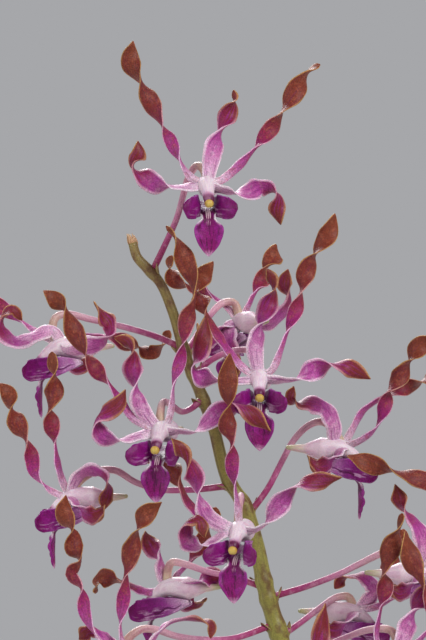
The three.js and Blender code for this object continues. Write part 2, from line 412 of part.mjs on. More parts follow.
// A closed solid through rings of points that run anticlockwise seen against the way the rings follow.
// The two faces of a flat ring are split along the same diagonals, so a twisted blade keeps its thickness.
function loft(rings) {
  const count = rings[0].length;
  const half = count / 2;
  const index = [];
  for (let ring = 0; ring + 1 < rings.length; ring += 1) {
    for (let k = 0; k < count; k += 1) {
      const a = ring * count + k;
      const b = ring * count + ((k + 1) % count);
      const c = b + count;
      const d = a + count;
      if (k < half) index.push(a, b, c, a, c, d);
      else index.push(a, b, d, b, c, d);
    }
  }
  const apex = Math.floor(half) - 1;
  const last = (rings.length - 1) * count;
  for (let k = 1; k + 1 < count; k += 1) {
    const b = (apex + k) % count;
    const c = (apex + k + 1) % count;
    index.push(apex, c, b, last + apex, last + b, last + c);
  }
  const geometry = new THREE.BufferGeometry();
  const positions = rings.flat().flatMap((p) => [p.x, p.y, p.z]);
  geometry.setAttribute("position", new THREE.Float32BufferAttribute(positions, 3));
  geometry.setIndex(index);
  return solidOf(geometry);
}

// A value read off a list of [share, value] pairs.
function valueAt(pairs, share) {
  const next = pairs.findIndex((pair) => pair[0] >= share);
  if (next <= 0) return pairs[next < 0 ? pairs.length - 1 : 0][1];
  const [s0, v0] = pairs[next - 1];
  const [s1, v1] = pairs[next];
  return v0 + ((v1 - v0) * (share - s0)) / (s1 - s0);
}

// Even steps along a smooth curve through the route: place, direction, an untwisted frame across it, and the
// route's fourth value.
function walk(route, steps) {
  const curve = new THREE.CatmullRomCurve3(route.map(vector));
  const spans = route.length - 1;
  const { normals, binormals } = curve.computeFrenetFrames(steps, false);
  return Array.from({ length: steps + 1 }, (_, i) => {
    const share = i / steps;
    const t = curve.getUtoTmapping(share);
    const span = Math.min(Math.floor(t * spans), spans - 1);
    const from = route[span][3] ?? 0;
    const to = route[span + 1][3] ?? 0;
    const extra = from + (to - from) * (t * spans - span);
    const place = curve.getPoint(t);
    return { share, place, along: curve.getTangent(t), side: normals[i], up: binormals[i], extra };
  });
}

// The most half-width that a blade can have at station i before its bend inside its own plane folds it over.
function roomAt(stations, i, side) {
  const limits = [stations[i - 1], stations[i + 1]].filter(Boolean).map(({ place, along }) => {
    const bend = Math.abs(along.clone().sub(stations[i].along).dot(side));
    return (BEND_ROOM * place.distanceTo(stations[i].place)) / Math.max(bend, 1e-6);
  });
  return Math.min(...limits);
}

// A twisted blade: flat in section, or with a keel drop along its middle as a leaf has.
function blade(route, { width, profile, steps, thickness = BLADE, facing = [0, 1, 0], keel = 0 }) {
  const axis = vector(facing);
  const stations = walk(route, steps);
  const rings = stations.map(({ share, place, along, extra }, i) => {
    const side = along.clone().cross(axis).normalize();
    side.applyAxisAngle(along, Math.PI * extra);
    const up = along.clone().cross(side);
    const half = Math.min((width * valueAt(profile, share)) / 2, roomAt(stations, i, side));
    const sunk = keel * valueAt(profile, share);
    const at = (w, t, drop = 0) => place.clone().addScaledVector(side, w).addScaledVector(up, t - drop);
    const t = thickness / 2;
    if (!keel) return [at(half, -t), at(half, t), at(-half, t), at(-half, -t)];
    return [at(half, -t), at(half, t), at(0, t, sunk), at(-half, t), at(-half, -t), at(0, -t, sunk)];
  });
  return loft(rings);
}

// A round tube of changing radius. Growing it widens it and lengthens both ends, to cut a clearance with.
function tube(route, radii, { sides, steps, grow = 0 }) {
  const stations = walk(route, steps);
  const rings = stations.map(({ share, place, along, side, up }, i) => {
    const radius = valueAt(radii, share) + grow;
    const end = (i === 0 ? -grow : 0) + (i === steps ? grow : 0);
    return Array.from({ length: sides }, (_, k) => {
      const angle = (2 * Math.PI * k) / sides;
      return place.clone().addScaledVector(along, end)
        .addScaledVector(side, radius * Math.cos(angle))
        .addScaledVector(up, radius * Math.sin(angle));
    });
  });
  return loft(rings);
}

// A tube whose route carries its radius as the fourth value.
function taper(route, options) {
  const radii = walk(route, options.steps).map(({ share, extra }) => [share, extra]);
  return tube(route, radii, options);
}

const evenly = (values) => values.map((value, i) => [i / (values.length - 1), value]);

// The column and chin, which the lip and cap keep clear of.
function core(lean) {
  const route = CORE.map(([x, y, z, radius], i) => {
    const moved = lean * Math.max(1 - i / CHIN_POINTS, 0);
    return [x + moved, y, z, radius];
  });
  return taper(route, CORE_FORM);
}

// The lip: a waisted middle lobe between two side lobes that stand on both sides of the column.
function lip() {
  const lobe = (side) => blade(
    SIDELOBE.map(([x, y, z, turn]) => [side * x, y, z, side * turn]),
    {
      width: LIP.sideWidth, profile: PROFILES.sidelobe, steps: 3,
      facing: [side * SIDE_FACING[0], SIDE_FACING[1], SIDE_FACING[2]],
    },
  );
  return join([
    blade(MIDLOBE, { width: LIP.midWidth, profile: PROFILES.midlobe, steps: 7 }),
    lobe(1),
    lobe(-1),
  ]);
}

// The anther cap: a small rounded body just off the column's end.
function antherCap() {
  const end = vector(CORE.at(-1));
  const along = end.clone().sub(vector(CORE.at(-2))).normalize();
  const centre = end.addScaledVector(along, CAP_RADIUS + GAP);
  const geometry = new THREE.SphereGeometry(CAP_RADIUS, 5, 3);
  geometry.translate(centre.x, centre.y, centre.z);
  return solidOf(geometry);
}

const stemClearance = taper(STEM_ROUTE, { ...STEM, grow: GAP });

// One bloom's three solids, placed in the spray.
function bloom({ hub, yaw, whole, mentum, dorsal, petals, laterals, stalk }) {
  const turned = (solid) => solid.rotate([0, 0, yaw]);
  const petal = (route) => blade(route, { ...PETAL, profile: PROFILES.petal });
  const sepal = (route) => blade(route, { ...SEPAL, profile: PROFILES.sepal });
  const blades = [sepal(dorsal), ...petals.map(petal), ...laterals.map(sepal)];
  const stem = tube(stalk, evenly([1, 1, 1, 1.2, 1.5].map((n) => n * STALK.radius)), STALK);
  const body = turned(core(mentum));
  const routed = join([...blades, stem]);
  const tepals = body.add(whole ? turned(routed) : routed).translate(hub);
  return {
    tepals: mainBody(tepals.subtract(stemClearance)),
    lip: turned(lip()).translate(hub),
    cap: turned(antherCap()).translate(hub),
  };
}

// A leaf that clasps the cane and arches outwards, in the frame of the cane at that point.
function leaf(place, along, azimuth, scale) {
  const out = new THREE.Vector3(Math.cos(azimuth), Math.sin(azimuth), 0);
  const reach = (o, a) => place.clone().addScaledVector(out, o * LEAF.length * scale)
    .addScaledVector(along, a * LEAF.length * scale).toArray();
  const route = [
    reach(0.02, -0.02), reach(0.12, 0.12), reach(0.32, 0.28), reach(0.6, 0.34), reach(0.9, 0.22),
  ];
  return blade(route, {
    width: LEAF.width * scale, profile: PROFILES.leaf, steps: LEAF.steps,
    thickness: LEAF.thickness, facing: [0, 0, 1], keel: -LEAF.keel * scale,
  });
}

function cane({ route, azimuth, leaves }, rhizomeClearance) {
  const stations = walk(route, 100);
  const body = taper(route, CANE);
  const blades = leaves.map((share, i) => {
    const { place, along } = stations[Math.round(share * 100)];
    const turn = THREE.MathUtils.degToRad(azimuth + (i % 2) * 180 + ((i * 37) % 17) - 8);
    return leaf(place, along, turn, 0.82 + 0.18 * Math.sin(Math.PI * (i + 1) / (leaves.length + 1)));
  });
  return mainBody(join([body, ...blades]).subtract(rhizomeClearance));
}

// The rhizome on the bark, with roots that run out over it and dive in.
function rhizomeAndRoots(grow = 0) {
  const roots = ROOTS.at.map(([x, side], i) => {
    const lean = (i % 3) - 1;
    const route = [
      [x, 0, 102], [x + lean * 3, side * 8, 102], [x + lean * 7, side * ROOTS.reach, 100],
      [x + lean * 9, side * (ROOTS.reach + 6), 100 - ROOTS.dive],
    ];
    return tube(route, evenly([1.2, 1, 1, 0.7].map((n) => n * ROOTS.radius)), { ...ROOT, grow });
  });
  return join([taper(RHIZOME, { ...CANE, grow }), ...roots]);
}

// A small generator of repeatable numbers between 0 and 1.
function seeded(seed) {
  let state = seed;
  return () => {
    state = (state * 1664525 + 1013904223) % 4294967296;
    return state / 4294967296;
  };
}

const potInnerRadius = (z) => {
  const share = Math.min(z / (POT.height - POT.rim), 1);
  return POT.footRadius + (POT.neckRadius - POT.footRadius) * share - POT.wall;
};

function lathe(profile, sides) {
  const geometry = new THREE.LatheGeometry(profile.map(([r, z]) => new THREE.Vector2(r, z)), sides);
  geometry.rotateX(Math.PI / 2);
  return solidOf(geometry);
}

// The bed fills the pot up to a rough top of chips, with plain holes for what stands in it.
function barkBed(standing) {
  const random = seeded(7);
  const side = potInnerRadius(POT.height) - GAP;
  const bed = lathe([
    [0, POT.floor + GAP], [potInnerRadius(POT.floor) - GAP, POT.floor + GAP],
    [side, POT.height - POT.rim], [side, BARK.top - 3], [side - 6, BARK.top], [0, BARK.top],
  ], POT.sides);
  const chips = Array.from({ length: BARK.chips }, (_, i) => {
    const angle = i * 2.39996;
    const radius = (side - 0.6 * BARK.length) * Math.sqrt((i + 0.5) / BARK.chips);
    const size = 0.75 + 0.5 * random();
    const chip = new THREE.BoxGeometry(BARK.length * size, BARK.width * size, BARK.thickness * size);
    chip.applyMatrix4(new THREE.Matrix4().makeRotationFromEuler(
      new THREE.Euler(0.9 * (random() - 0.5), 0.9 * (random() - 0.5), Math.PI * random()),
    ));
    chip.translate(radius * Math.cos(angle), radius * Math.sin(angle), BARK.top + 0.4 + 1.6 * random());
    return solidOf(chip);
  });
  return mainBody(join([bed, ...chips]).subtract(standing));
}

function pot() {
  const neck = POT.height - POT.rim;
  const body = lathe([
    [0, 0], [POT.footRadius, 0], [POT.neckRadius, neck], [POT.topRadius, neck + 1],
      [POT.topRadius, POT.height - 1.6],
    [POT.topRadius - 1.6, POT.height], [potInnerRadius(POT.height), POT.height],
    [potInnerRadius(POT.height), neck], [potInnerRadius(POT.floor), POT.floor], [0, POT.floor],
  ], POT.sides);
  const holes = Array.from({ length: DRAIN.count }, (_, i) => {
    const hole = new THREE.CylinderGeometry(DRAIN.radius, DRAIN.radius, 3 * POT.floor, 12);
    hole.rotateX(Math.PI / 2);
    hole.rotateZ(0.5 + (2 * Math.PI * i) / DRAIN.count);
    const angle = (2 * Math.PI * i) / DRAIN.count;
    hole.translate(DRAIN.orbit * Math.cos(angle), DRAIN.orbit * Math.sin(angle), 0);
    return solidOf(hole);
  });
  return body.subtract(join(holes));
}

const object = new THREE.Group();
const rhizomeClearance = rhizomeAndRoots(GAP);
const caneClearance = taper(CANES[0].route, { ...CANE, grow: GAP });
const standing = join([
  rhizomeClearance,
  ...CANES.map(({ route }) => taper(route, { ...CANE, grow: GAP })),
]);

object.add(meshOf("pot", pot(), MATERIALS.pot));
object.add(meshOf("bark_bed", barkBed(standing), MATERIALS.bark));
object.add(meshOf("rhizome_and_roots", rhizomeAndRoots(), MATERIALS.roots));
CANES.forEach((spec, i) => {
  const finish = spec.leaves.length ? MATERIALS.cane : MATERIALS.oldCane;
  object.add(meshOf(`cane_${i + 1}`, cane(spec, rhizomeClearance), finish));
});
object.add(meshOf("spray_stem", mainBody(taper(STEM_ROUTE, STEM).subtract(caneClearance)), MATERIALS.stem));
BLOOMS.forEach((spec, i) => {
  const number = String(i + 1).padStart(2, "0");
  const made = bloom(spec);
  object.add(meshOf(`tepals_${number}`, made.tepals, MATERIALS.tepals));
  object.add(meshOf(`lip_${number}`, made.lip, MATERIALS.lip));
  object.add(meshOf(`anther_cap_${number}`, made.cap, MATERIALS.cap));
});

export default object;
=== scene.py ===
"""A potted antelope dendrobium orchid in flower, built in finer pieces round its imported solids.

Lengths are in millimetres, in the frame of the solids, and become metres as each mesh is made. The spray of
fifteen blooms, its stem, the leafy canes, the rhizome with its roots, the bark and the clay pot each replace
their own solids and keep their form.
"""
from __future__ import annotations

import json
import logging
import math
from dataclasses import dataclass, field, replace
from enum import Enum
from random import Random

import bpy
import numpy as np
from mathutils import Matrix, Vector

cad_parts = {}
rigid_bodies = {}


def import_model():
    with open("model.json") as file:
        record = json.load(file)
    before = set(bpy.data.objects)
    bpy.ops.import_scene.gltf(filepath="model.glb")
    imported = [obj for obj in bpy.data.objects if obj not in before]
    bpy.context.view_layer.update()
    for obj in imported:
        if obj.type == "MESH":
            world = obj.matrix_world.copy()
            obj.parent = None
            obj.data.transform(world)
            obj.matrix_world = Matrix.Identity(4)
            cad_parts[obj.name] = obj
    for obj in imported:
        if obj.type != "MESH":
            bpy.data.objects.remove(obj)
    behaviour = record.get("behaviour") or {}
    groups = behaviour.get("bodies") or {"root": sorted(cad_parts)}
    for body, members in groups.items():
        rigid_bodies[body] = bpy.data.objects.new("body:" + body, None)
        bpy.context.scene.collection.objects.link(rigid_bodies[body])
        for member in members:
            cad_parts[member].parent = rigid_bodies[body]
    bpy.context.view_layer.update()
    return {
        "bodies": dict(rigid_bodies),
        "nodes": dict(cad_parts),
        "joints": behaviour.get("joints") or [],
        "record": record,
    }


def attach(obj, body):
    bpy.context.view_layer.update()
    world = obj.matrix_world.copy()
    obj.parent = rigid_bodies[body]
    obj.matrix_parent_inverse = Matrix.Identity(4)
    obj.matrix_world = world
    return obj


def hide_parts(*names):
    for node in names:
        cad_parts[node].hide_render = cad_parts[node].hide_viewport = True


LOG = logging.getLogger("orchid")

MM = 0.001  # metres in a millimetre
SURFACE = "surface"  # the attribute that gives a point's place across, along and its piece's own tint

# Driving dimensions, the same as the solids'
BLADE = 0.8  # thickness of a tepal or lip lobe
BEND_ROOM = 0.6  # share of a bend's radius that a blade may reach into
PETAL_WIDTH = 7.4
SEPAL_WIDTH = 7.8
MIDLOBE_WIDTH = 10.4
SIDELOBE_WIDTH = 7.8
KEEL_APART = 0.65  # distance from one raised keel of the lip to the next
STALK_RADIUS = 1.1
CAP_RADIUS = 1.6
CAP_GAP = 0.3
BARK_TOP = 100.0
GOLDEN_ANGLE = 2.39996  # radians from one chip of bark to the next, which spreads them evenly

# Where a noise's values mostly lie, and where it turns to a blotch or a vein
NOISE_LOW, NOISE_HIGH = 0.3, 0.7
BLOTCH_EDGE = (0.5, 0.68)
VEIN_EDGE = (0.48, 0.66)
VEIN_BREAKS = 5.0  # how often a vein's pattern changes along a piece
TINT_STEP = 40.0  # how far apart two pieces' vein patterns lie
TINT_SHADE = (0.92, 1.06)  # brightness of the darkest and of the lightest piece
VEIN_SINK = 0.6  # depth of a vein, as a share of the fine relief
THINNING = 0.86  # share by which a blade's thickness, squared, falls to its margin
DOME_TURNS = (30, 55, 75, 86)  # degrees of the rings that round off a limb's end
STEM_STEPS = 200  # stations that the parts on the stem are placed by
CANE_STEPS = 100  # the same on a cane

Route = list[list[float]]
Profile = tuple[tuple[float, float], ...]
Colours = tuple[tuple[float, str], ...]
Tree = bpy.types.NodeTree
Socket = bpy.types.NodeSocket

# Width along a blade, as (share of its length, share of its full width)
PETAL_OUTLINE: Profile = ((0, 0.36), (0.16, 0.44), (0.35, 0.66), (0.58, 0.88), (0.8, 1), (0.9, 0.92),
                          (0.95, 0.7), (0.985, 0.38), (1, 0.08))
SEPAL_OUTLINE: Profile = ((0, 0.5), (0.14, 0.66), (0.38, 1), (0.62, 0.98), (0.85, 0.8), (0.94, 0.46),
    (1, 0.06))
MIDLOBE_OUTLINE: Profile = (
    (0, 0.4), (0.14, 0.74), (0.42, 0.74), (0.5, 0.48), (0.555, 0.45), (0.6, 0.7), (0.63, 0.92), (0.68, 1),
    (0.76, 0.96), (0.86, 0.72), (0.95, 0.34), (1, 0.04),
)
SIDELOBE_OUTLINE: Profile = (
    (0, 0.2), (0.2, 0.6), (0.42, 0.92), (0.64, 1), (0.84, 1), (0.91, 0.84), (0.96, 0.58), (1, 0.24),
)
LEAF_OUTLINE: Profile = (
    (0, 0.3), (0.1, 0.46), (0.35, 0.94), (0.6, 1), (0.85, 0.72), (0.96, 0.36), (1, 0.06),
)

# Routes are lists of [x, y, z, turn]: y runs away from the viewer, and turn counts half-turns of a blade's
# twist, so that a blade shows its face at 0 and 1 and its edge at 0.5 and 1.5.

# The spray's stem from its cane up to the dry cut tip, as [x, y, z, radius]
STEM_ROUTE = [
    [27, 3, 262, 3.4], [22, 0.5, 284, 3.4], [16, 0, 318, 3.3], [9, 0, 358, 3.2], [2, 0, 396, 3.15],
    [-6.6, 0, 429, 3.1], [-11.9, 0, 447.5, 2.9], [-15.4, 0, 464, 2.7], [-19.5, 0, 477, 2.5],
    [-25.6, 0, 487, 2.3], [-30.2, 0, 504, 2.1], [-34.6, 0, 516, 2.1], [-39.6, 0, 528, 2],
    [-44.6, 0, 545, 1.8],
    [-49, 0, 555, 1.7], [-53.4, 0, 560, 1.8], [-57, 0, 564, 1.7], [-58.6, 0, 569, 1.6],
]

# The two lower sepals of a bloom seen from its side, which faces right
SIDE_LATERALS = [
    [[0, -1, -1, 0.2], [-0.5, -5, -1.6, 0.3], [-2.4, -8.4, -4.4, 0.5], [-6, -10.4, -6.6, 0.8],
        [-9.5, -11, -6, 1.2], [-12, -10.5, -3, 1.5]],
    [[0, 1, -1, 0.2], [-0.5, 5, -0.8, 0.35], [-2, 9.4, -4, 0.5], [-5, 12, -7, 0.8], [-9, 14, -6.5, 1.2],
        [-12, 14, -3, 1.5]],
]

# The tepals of a bloom on the lower part of the spray, which faces the viewer until it is turned
OPEN_BLOOM = {
    "dorsal": [[0, 0.5, -1, 0], [0.6, 1.5, 6, 0], [1, 3, 13, 0.15], [0.4, 4, 18.5, 0.5], [2, 5, 25, 1],
        [1, 5, 31, 1.6]],
    "petals": [
        [[-1, 0.5, 0, 0], [-5, 1, 2, 0.1], [-9.5, 2, 8, 0.5], [-13, 3, 15, 1], [-16, 4, 22, 1.5],
            [-20, 5, 28, 2], [-22, 6, 34, 2.5], [-24, 6, 39, 3]],
        [[1, 0.5, 0, 0], [5, 1, 2, 0.1], [10, 2, 7, 0.5], [15, 3, 13, 1], [18, 4, 20, 1.5], [22, 5, 26, 2],
            [25, 5, 33, 2.5], [28, 5, 37, 3]],
    ],
    "laterals": [
        [[-1, 0, -1, 0.15], [-7, -1, -2, 0.35], [-13, -1.5, -1.5, 0.5], [-19, -2, 1, 1], [-24, -1, 2, 1.5],
            [-30, 0, 0, 2.1]],
        [[1, 0, -1, 0.15], [7, -1, -2.4, 0.35], [13, -1.5, -2.6, 0.5], [19, -2, -1, 1], [24, -1.5, 2, 1.5],
            [28, 0, 7, 2.1]],
    ],
}

# The body of a bloom that faces -Y: the spur, the chin, the hub and the column, from back to front, as
# [x, y, z, radius]. The first CHIN_POINTS points lean to the side.
CORE = [
    [0, 19, -0.4, 0.8], [0, 13.5, -0.8, 1.6], [0, 7.5, -1, 4.1], [0, 0.5, -0.8, 3.3], [0, -3.2, -2.8, 2.3],
    [0, -6.5, -6, 1.8],
]
CHIN_POINTS = 3

# The lip's lobes, for a bloom that faces -Y. The middle lobe runs under the chin and hangs in front. The
# right side lobe rises from its edge, stands beside the column and flares at the front, along SIDE_FACING.
MIDLOBE_ROUTE = [
    [0, 8.5, -5.9, 0], [0, 4, -7.4, 0], [0, -0.5, -8.4, 0], [0, -3.8, -9.8, 0], [0, -6, -12.2, 0],
    [0, -7.2, -15, 0], [0, -7.3, -19.5, 0], [0, -6, -25.6, 0],
]
SIDELOBE_ROUTE = [
    [2.4, 8, -5.9, 0], [3.6, 4, -6.6, 0], [3.7, 0, -7.4, 0], [3.5, -3.5, -7.9, 0], [4.9, -7.2, -8.6, 0],
    [7.2, -10.2, -9, 0], [9.4, -12, -8.5, 0],
]
SIDE_FACING = (0.78, 0.62, 0.0)


def linear(code: str) -> tuple[float, float, float, float]:
    """Turns an sRGB hex code to a linear colour.

    Args:
        code: six hex digits, such as "c873a4".

    Returns:
        Linear red, green and blue, and an alpha of 1.
    """
    shares = [int(code[i : i + 2], 16) / 255 for i in (0, 2, 4)]
    red, green, blue = (c / 12.92 if c <= 0.04045 else ((c + 0.055) / 1.055) ** 2.4 for c in shares)
    return red, green, blue, 1.0


def add(
    tree: Tree, kind: str, inputs: dict | None = None, stops: Colours = (), **settings: object
) -> bpy.types.Node:
    """Adds one shader node with its settings, values and links.

    Args:
        tree: the material's node tree.
        kind: the node's type name, without its "ShaderNode".
        inputs: value, output socket or node (for its first output) for each input, by name or number.
        stops: colour stops of a ramp, as (place, sRGB hex).
        settings: the node's own properties.

    Returns:
        The new node.
    """
    node = tree.nodes.new(f"ShaderNode{kind}")
    for name, value in settings.items():
        setattr(node, name, value)
    for i, (place, code) in enumerate(stops):
        element = node.color_ramp.elements[i] if i < 2 else node.color_ramp.elements.new(place)
        element.position = place
        element.color = linear(code)
    for key, value in (inputs or {}).items():
        if isinstance(value, bpy.types.Node):
            value = value.outputs[0]
        if isinstance(value, Socket):
            tree.links.new(value, node.inputs[key])
        else:
            node.inputs[key].default_value = value
    return node


@dataclass(frozen=True)
class Finish:
    """What one real surface shows: a run of colour, with veins, blotches, speckle, a rim and fine relief.

    Attributes:
        name: the material's plain name.
        run: colours from the base to the tip, as (share, sRGB hex).
        rim: colours of the margin from the base to the tip, or none.
        rim_start: where the margin begins, as a share of the half-width.
        drift: how far patches shift the run of colour.
        vein: colour of the lengthwise veins.
        vein_amount: how strongly they show.
        vein_count: how many veins cross a half-width.
        vein_end: share of the length at which they fade.
        vein_side: 0 for veins all over, or 1 or -1 for veins on one half only.
        blotch: colour of the blotches.
        blotch_mm: their size.
        blotch_amount: how strongly they show.
        blotch_end: share of the length at which they fade.
        speckle_mm: size of the finest grain.
        grain_and_glint_amount: how much it changes the brightness; partly the surface's own grain, and on the
            tepals and lip partly painted glints.
        relief_mm: height of the fine relief.
        rough: lowest and highest roughness.
        specular: the shader's specular level.
        soft: share of light that passes into the surface.
    """

    name: str
    run: Colours
    rim: Colours = ()
    rim_start: float = 0.8
    drift: float = 0.1
    vein: str = "000000"
    vein_amount: float = 0.0
    vein_count: float = 7.0
    vein_end: float = 1.0
    vein_side: float = 0.0
    blotch: str = "000000"
    blotch_mm: float = 4.0
    blotch_amount: float = 0.0
    blotch_end: float = 1.2
    speckle_mm: float = 0.4
    grain_and_glint_amount: float = 0.15
    relief_mm: float = 0.05
    rough: tuple[float, float] = (0.38, 0.55)
    specular: float = 0.5
    soft: float = 0.0

    def material(self) -> bpy.types.Material:
        """Builds the shader nodes.

        Returns:
            The new material.
        """
        made = bpy.data.materials.new(self.name)
        made.use_nodes = True
        tree = made.node_tree
        shader = tree.nodes["Principled BSDF"]
        shader.inputs["Specular IOR Level"].default_value = self.specular
        shader.inputs["Subsurface Weight"].default_value = self.soft
        shader.inputs["Subsurface Scale"].default_value = MM
        where = add(tree, "TexCoord").outputs["Object"]
        marked = add(tree, "Attribute", attribute_name=SURFACE).outputs["Vector"]
        across, along, tint = add(tree, "SeparateXYZ", {0: marked}).outputs
        patch = add(tree, "TexNoise", {"Vector": where, "Scale": 1 / (self.blotch_mm * MM), "Detail": 3})
        shift = add(tree, "Math", {0: patch, 1: 2 * self.drift, 2: -self.drift}, operation="MULTIPLY_ADD")
        place = add(tree, "Math", {0: along, 1: shift}, operation="ADD")
        colour = add(tree, "ValToRGB", {0: place}, stops=self.run).outputs[0]
        veins = self._veins(tree, across, along, tint)
        colour = self._blend(tree, colour, veins, linear(self.vein))
        spots = add(
            tree, "MapRange", {0: patch, 1: BLOTCH_EDGE[0], 2: BLOTCH_EDGE[1], 3: 0, 4: self.blotch_amount},
            interpolation_type="SMOOTHSTEP",
        )
        held = self._fade(tree, along, self.blotch_end, spots.outputs[0])
        colour = self._blend(tree, colour, held, linear(self.blotch))
        if self.rim:
            edge = add(tree, "Math", {0: across}, operation="ABSOLUTE")
            band = add(tree, "MapRange", {0: edge, 1: self.rim_start, 2: 0.98},
                interpolation_type="SMOOTHSTEP")
            margin = add(tree, "ValToRGB", {0: along}, stops=self.rim)
            colour = self._blend(tree, colour, band.outputs[0], margin.outputs[0])
        # The fine grain sets the relief and the colour's brightness; on the tepals and the lip its flecks are
        # partly painted glints of the sparkling cells.
        grain = add(tree, "TexNoise", {"Vector": where, "Scale": 1 / (self.speckle_mm * MM), "Detail": 2})
        dim, bright = 1 - self.grain_and_glint_amount, 1 + self.grain_and_glint_amount
        light = add(tree, "MapRange", {0: grain, 1: NOISE_LOW, 2: NOISE_HIGH, 3: dim, 4: bright})
        shade = add(tree, "MapRange", {0: tint, 1: 0, 2: 1, 3: TINT_SHADE[0], 4: TINT_SHADE[1]})
        grey = add(tree, "Math", {0: light, 1: shade}, operation="MULTIPLY")
        lit = add(tree, "VectorMath", {0: colour, "Scale": grey.outputs[0]}, operation="SCALE")
        tree.links.new(lit.outputs[0], shader.inputs["Base Color"])
        gloss = add(
            tree, "MapRange", {0: patch, 1: NOISE_LOW, 2: NOISE_HIGH, 3: self.rough[0], 4: self.rough[1]}
        )
        tree.links.new(gloss.outputs[0], shader.inputs["Roughness"])
        height = add(tree, "Math", {0: veins, 1: -VEIN_SINK, 2: grain}, operation="MULTIPLY_ADD")
        relief = add(tree, "Bump", {"Height": height, "Distance": self.relief_mm * MM})
        tree.links.new(relief.outputs[0], shader.inputs["Normal"])
        return made

    def _veins(self, tree: Tree, across: Socket, along: Socket, tint: Socket) -> Socket:
        """Draws veins that run the length of the piece and fade at vein_end.

        Args:
            tree: the material's node tree.
            across: place across, from -1 to 1.
            along: place along, from 0 to 1.
            tint: the piece's own number.

        Returns:
            How strongly a vein shows at each point.
        """
        wide = add(tree, "Math", {0: across, 1: self.vein_count}, operation="MULTIPLY")
        long = add(tree, "Math", {0: along, 1: VEIN_BREAKS}, operation="MULTIPLY")
        own = add(tree, "Math", {0: tint, 1: TINT_STEP}, operation="MULTIPLY")
        lines = add(tree, "CombineXYZ", {0: wide, 1: long, 2: own})
        noise = add(tree, "TexNoise", {"Vector": lines, "Scale": 1.0, "Detail": 2})
        band = add(
            tree, "MapRange", {0: noise, 1: VEIN_EDGE[0], 2: VEIN_EDGE[1], 3: 0, 4: self.vein_amount},
            interpolation_type="SMOOTHSTEP",
        )
        shown = self._fade(tree, along, self.vein_end, band.outputs[0])
        if not self.vein_side:
            return shown
        half = add(tree, "Math", {0: across, 1: self.vein_side}, operation="MULTIPLY")
        kept = add(tree, "MapRange", {0: half, 1: -0.1, 2: 0.25})
        return add(tree, "Math", {0: shown, 1: kept}, operation="MULTIPLY").outputs[0]

    @staticmethod
    def _fade(tree: Tree, along: Socket, end: float, amount: Socket) -> Socket:
        """Lets an amount fade out round a share of the length, and returns what is left of it."""
        left = add(tree, "MapRange", {0: along, 1: end - 0.15, 2: end + 0.1, 3: 1, 4: 0})
        return add(tree, "Math", {0: amount, 1: left}, operation="MULTIPLY").outputs[0]

    @staticmethod
    def _blend(tree: Tree, under: Socket, share: Socket, over: object) -> Socket:
        """Lays one colour over another by a share, and returns the blend."""
        return add(tree, "Mix", {0: share, 6: under, 7: over}, data_type="RGBA").outputs[2]


# Waxy petal tissue: white at the hub, then pink and magenta, and rust brown with gold margins at the tips.
# Its strong speckle is partly grain and partly painted glints of the sparkling cells.
PETAL_SKIN = Finish(
    "petal_tissue",
    run=((0, "e2d0d8"), (0.09, "d2a8c2"), (0.2, "b4589a"), (0.33, "9c2474"), (0.45, "881f44"), (0.58,
         "782822"),
         (1, "7a381e")),
    rim=((0, "f0e2e8"), (0.3, "dca6cc"), (0.5, "c88c92"), (0.65, "a87a48"), (1, "b0844e")), rim_start=0.88,
    vein="5e1440", vein_amount=0.4, vein_end=0.9, drift=0.06, blotch="b0664a", blotch_mm=1.6,
        blotch_amount=0.3,
    speckle_mm=0.42, grain_and_glint_amount=0.38, relief_mm=0.14, rough=(0.42, 0.6), specular=0.3, soft=0.08,
)
# Sepal tissue: broader and paler, with a magenta smear along the middle, and maroon past its first twist.
# Its strong speckle is partly grain and partly painted glints of the sparkling cells.
SEPAL_SKIN = Finish(
    "sepal_tissue",
    run=((0, "e4d6dc"), (0.12, "d6a8c6"), (0.3, "c070a6"), (0.48, "aa4090"), (0.62, "8e2456"), (0.76,
         "781a2c"),
         (1, "742c1e")),
    rim=((0, "f0e2e8"), (0.5, "e8c4da"), (0.64, "cf94b0"), (0.78, "b0745a"), (1, "b0844e")), rim_start=0.66,
    vein="8c2378", vein_amount=0.65, vein_count=5, vein_end=0.9, drift=0.1, blotch="e2bcd2", blotch_mm=3,
    blotch_amount=0.45, blotch_end=0.5, speckle_mm=0.42, grain_and_glint_amount=0.32, relief_mm=0.12,
        rough=(0.4, 0.56),
    specular=0.3, soft=0.08,
)
# Chin and column: thick, smooth and nearly white, greenish at the spur and dark crimson round the anther.
CORE_SKIN = Finish(
    "column_and_chin_tissue",
    run=((0, "a8a878"), (0.14, "cfc0ac"), (0.3, "e0c6d2"), (0.62, "ead9e0"), (0.91, "ead8e0"), (0.95,
         "c08cac"),
         (0.975, "6a1a4c"), (1, "5c1040")),
    blotch="cf94b8", blotch_mm=4, blotch_amount=0.35, vein="bf7fae", vein_amount=0.3, drift=0.02,
    grain_and_glint_amount=0.08, rough=(0.3, 0.42), specular=0.35, soft=0.12,
)
# Flower stalk: magenta pink at the stem, paler towards the arch, cream where it meets the bloom.
STALK_SKIN = Finish(
    "flower_stalk_skin",
    run=((0, "8e2a52"), (0.18, "a23c72"), (0.34, "b8648e"), (0.5, "ca90aa"), (0.72, "d0a2ae"), (0.88,
         "c8a894"),
         (1, "ccbc9c")),
    blotch="cc9aac", blotch_mm=2.5, blotch_amount=0.35, vein="842c5c", vein_amount=0.45, vein_count=1.5,
    grain_and_glint_amount=0.16, rough=(0.34, 0.48), specular=0.35, soft=0.06,
)
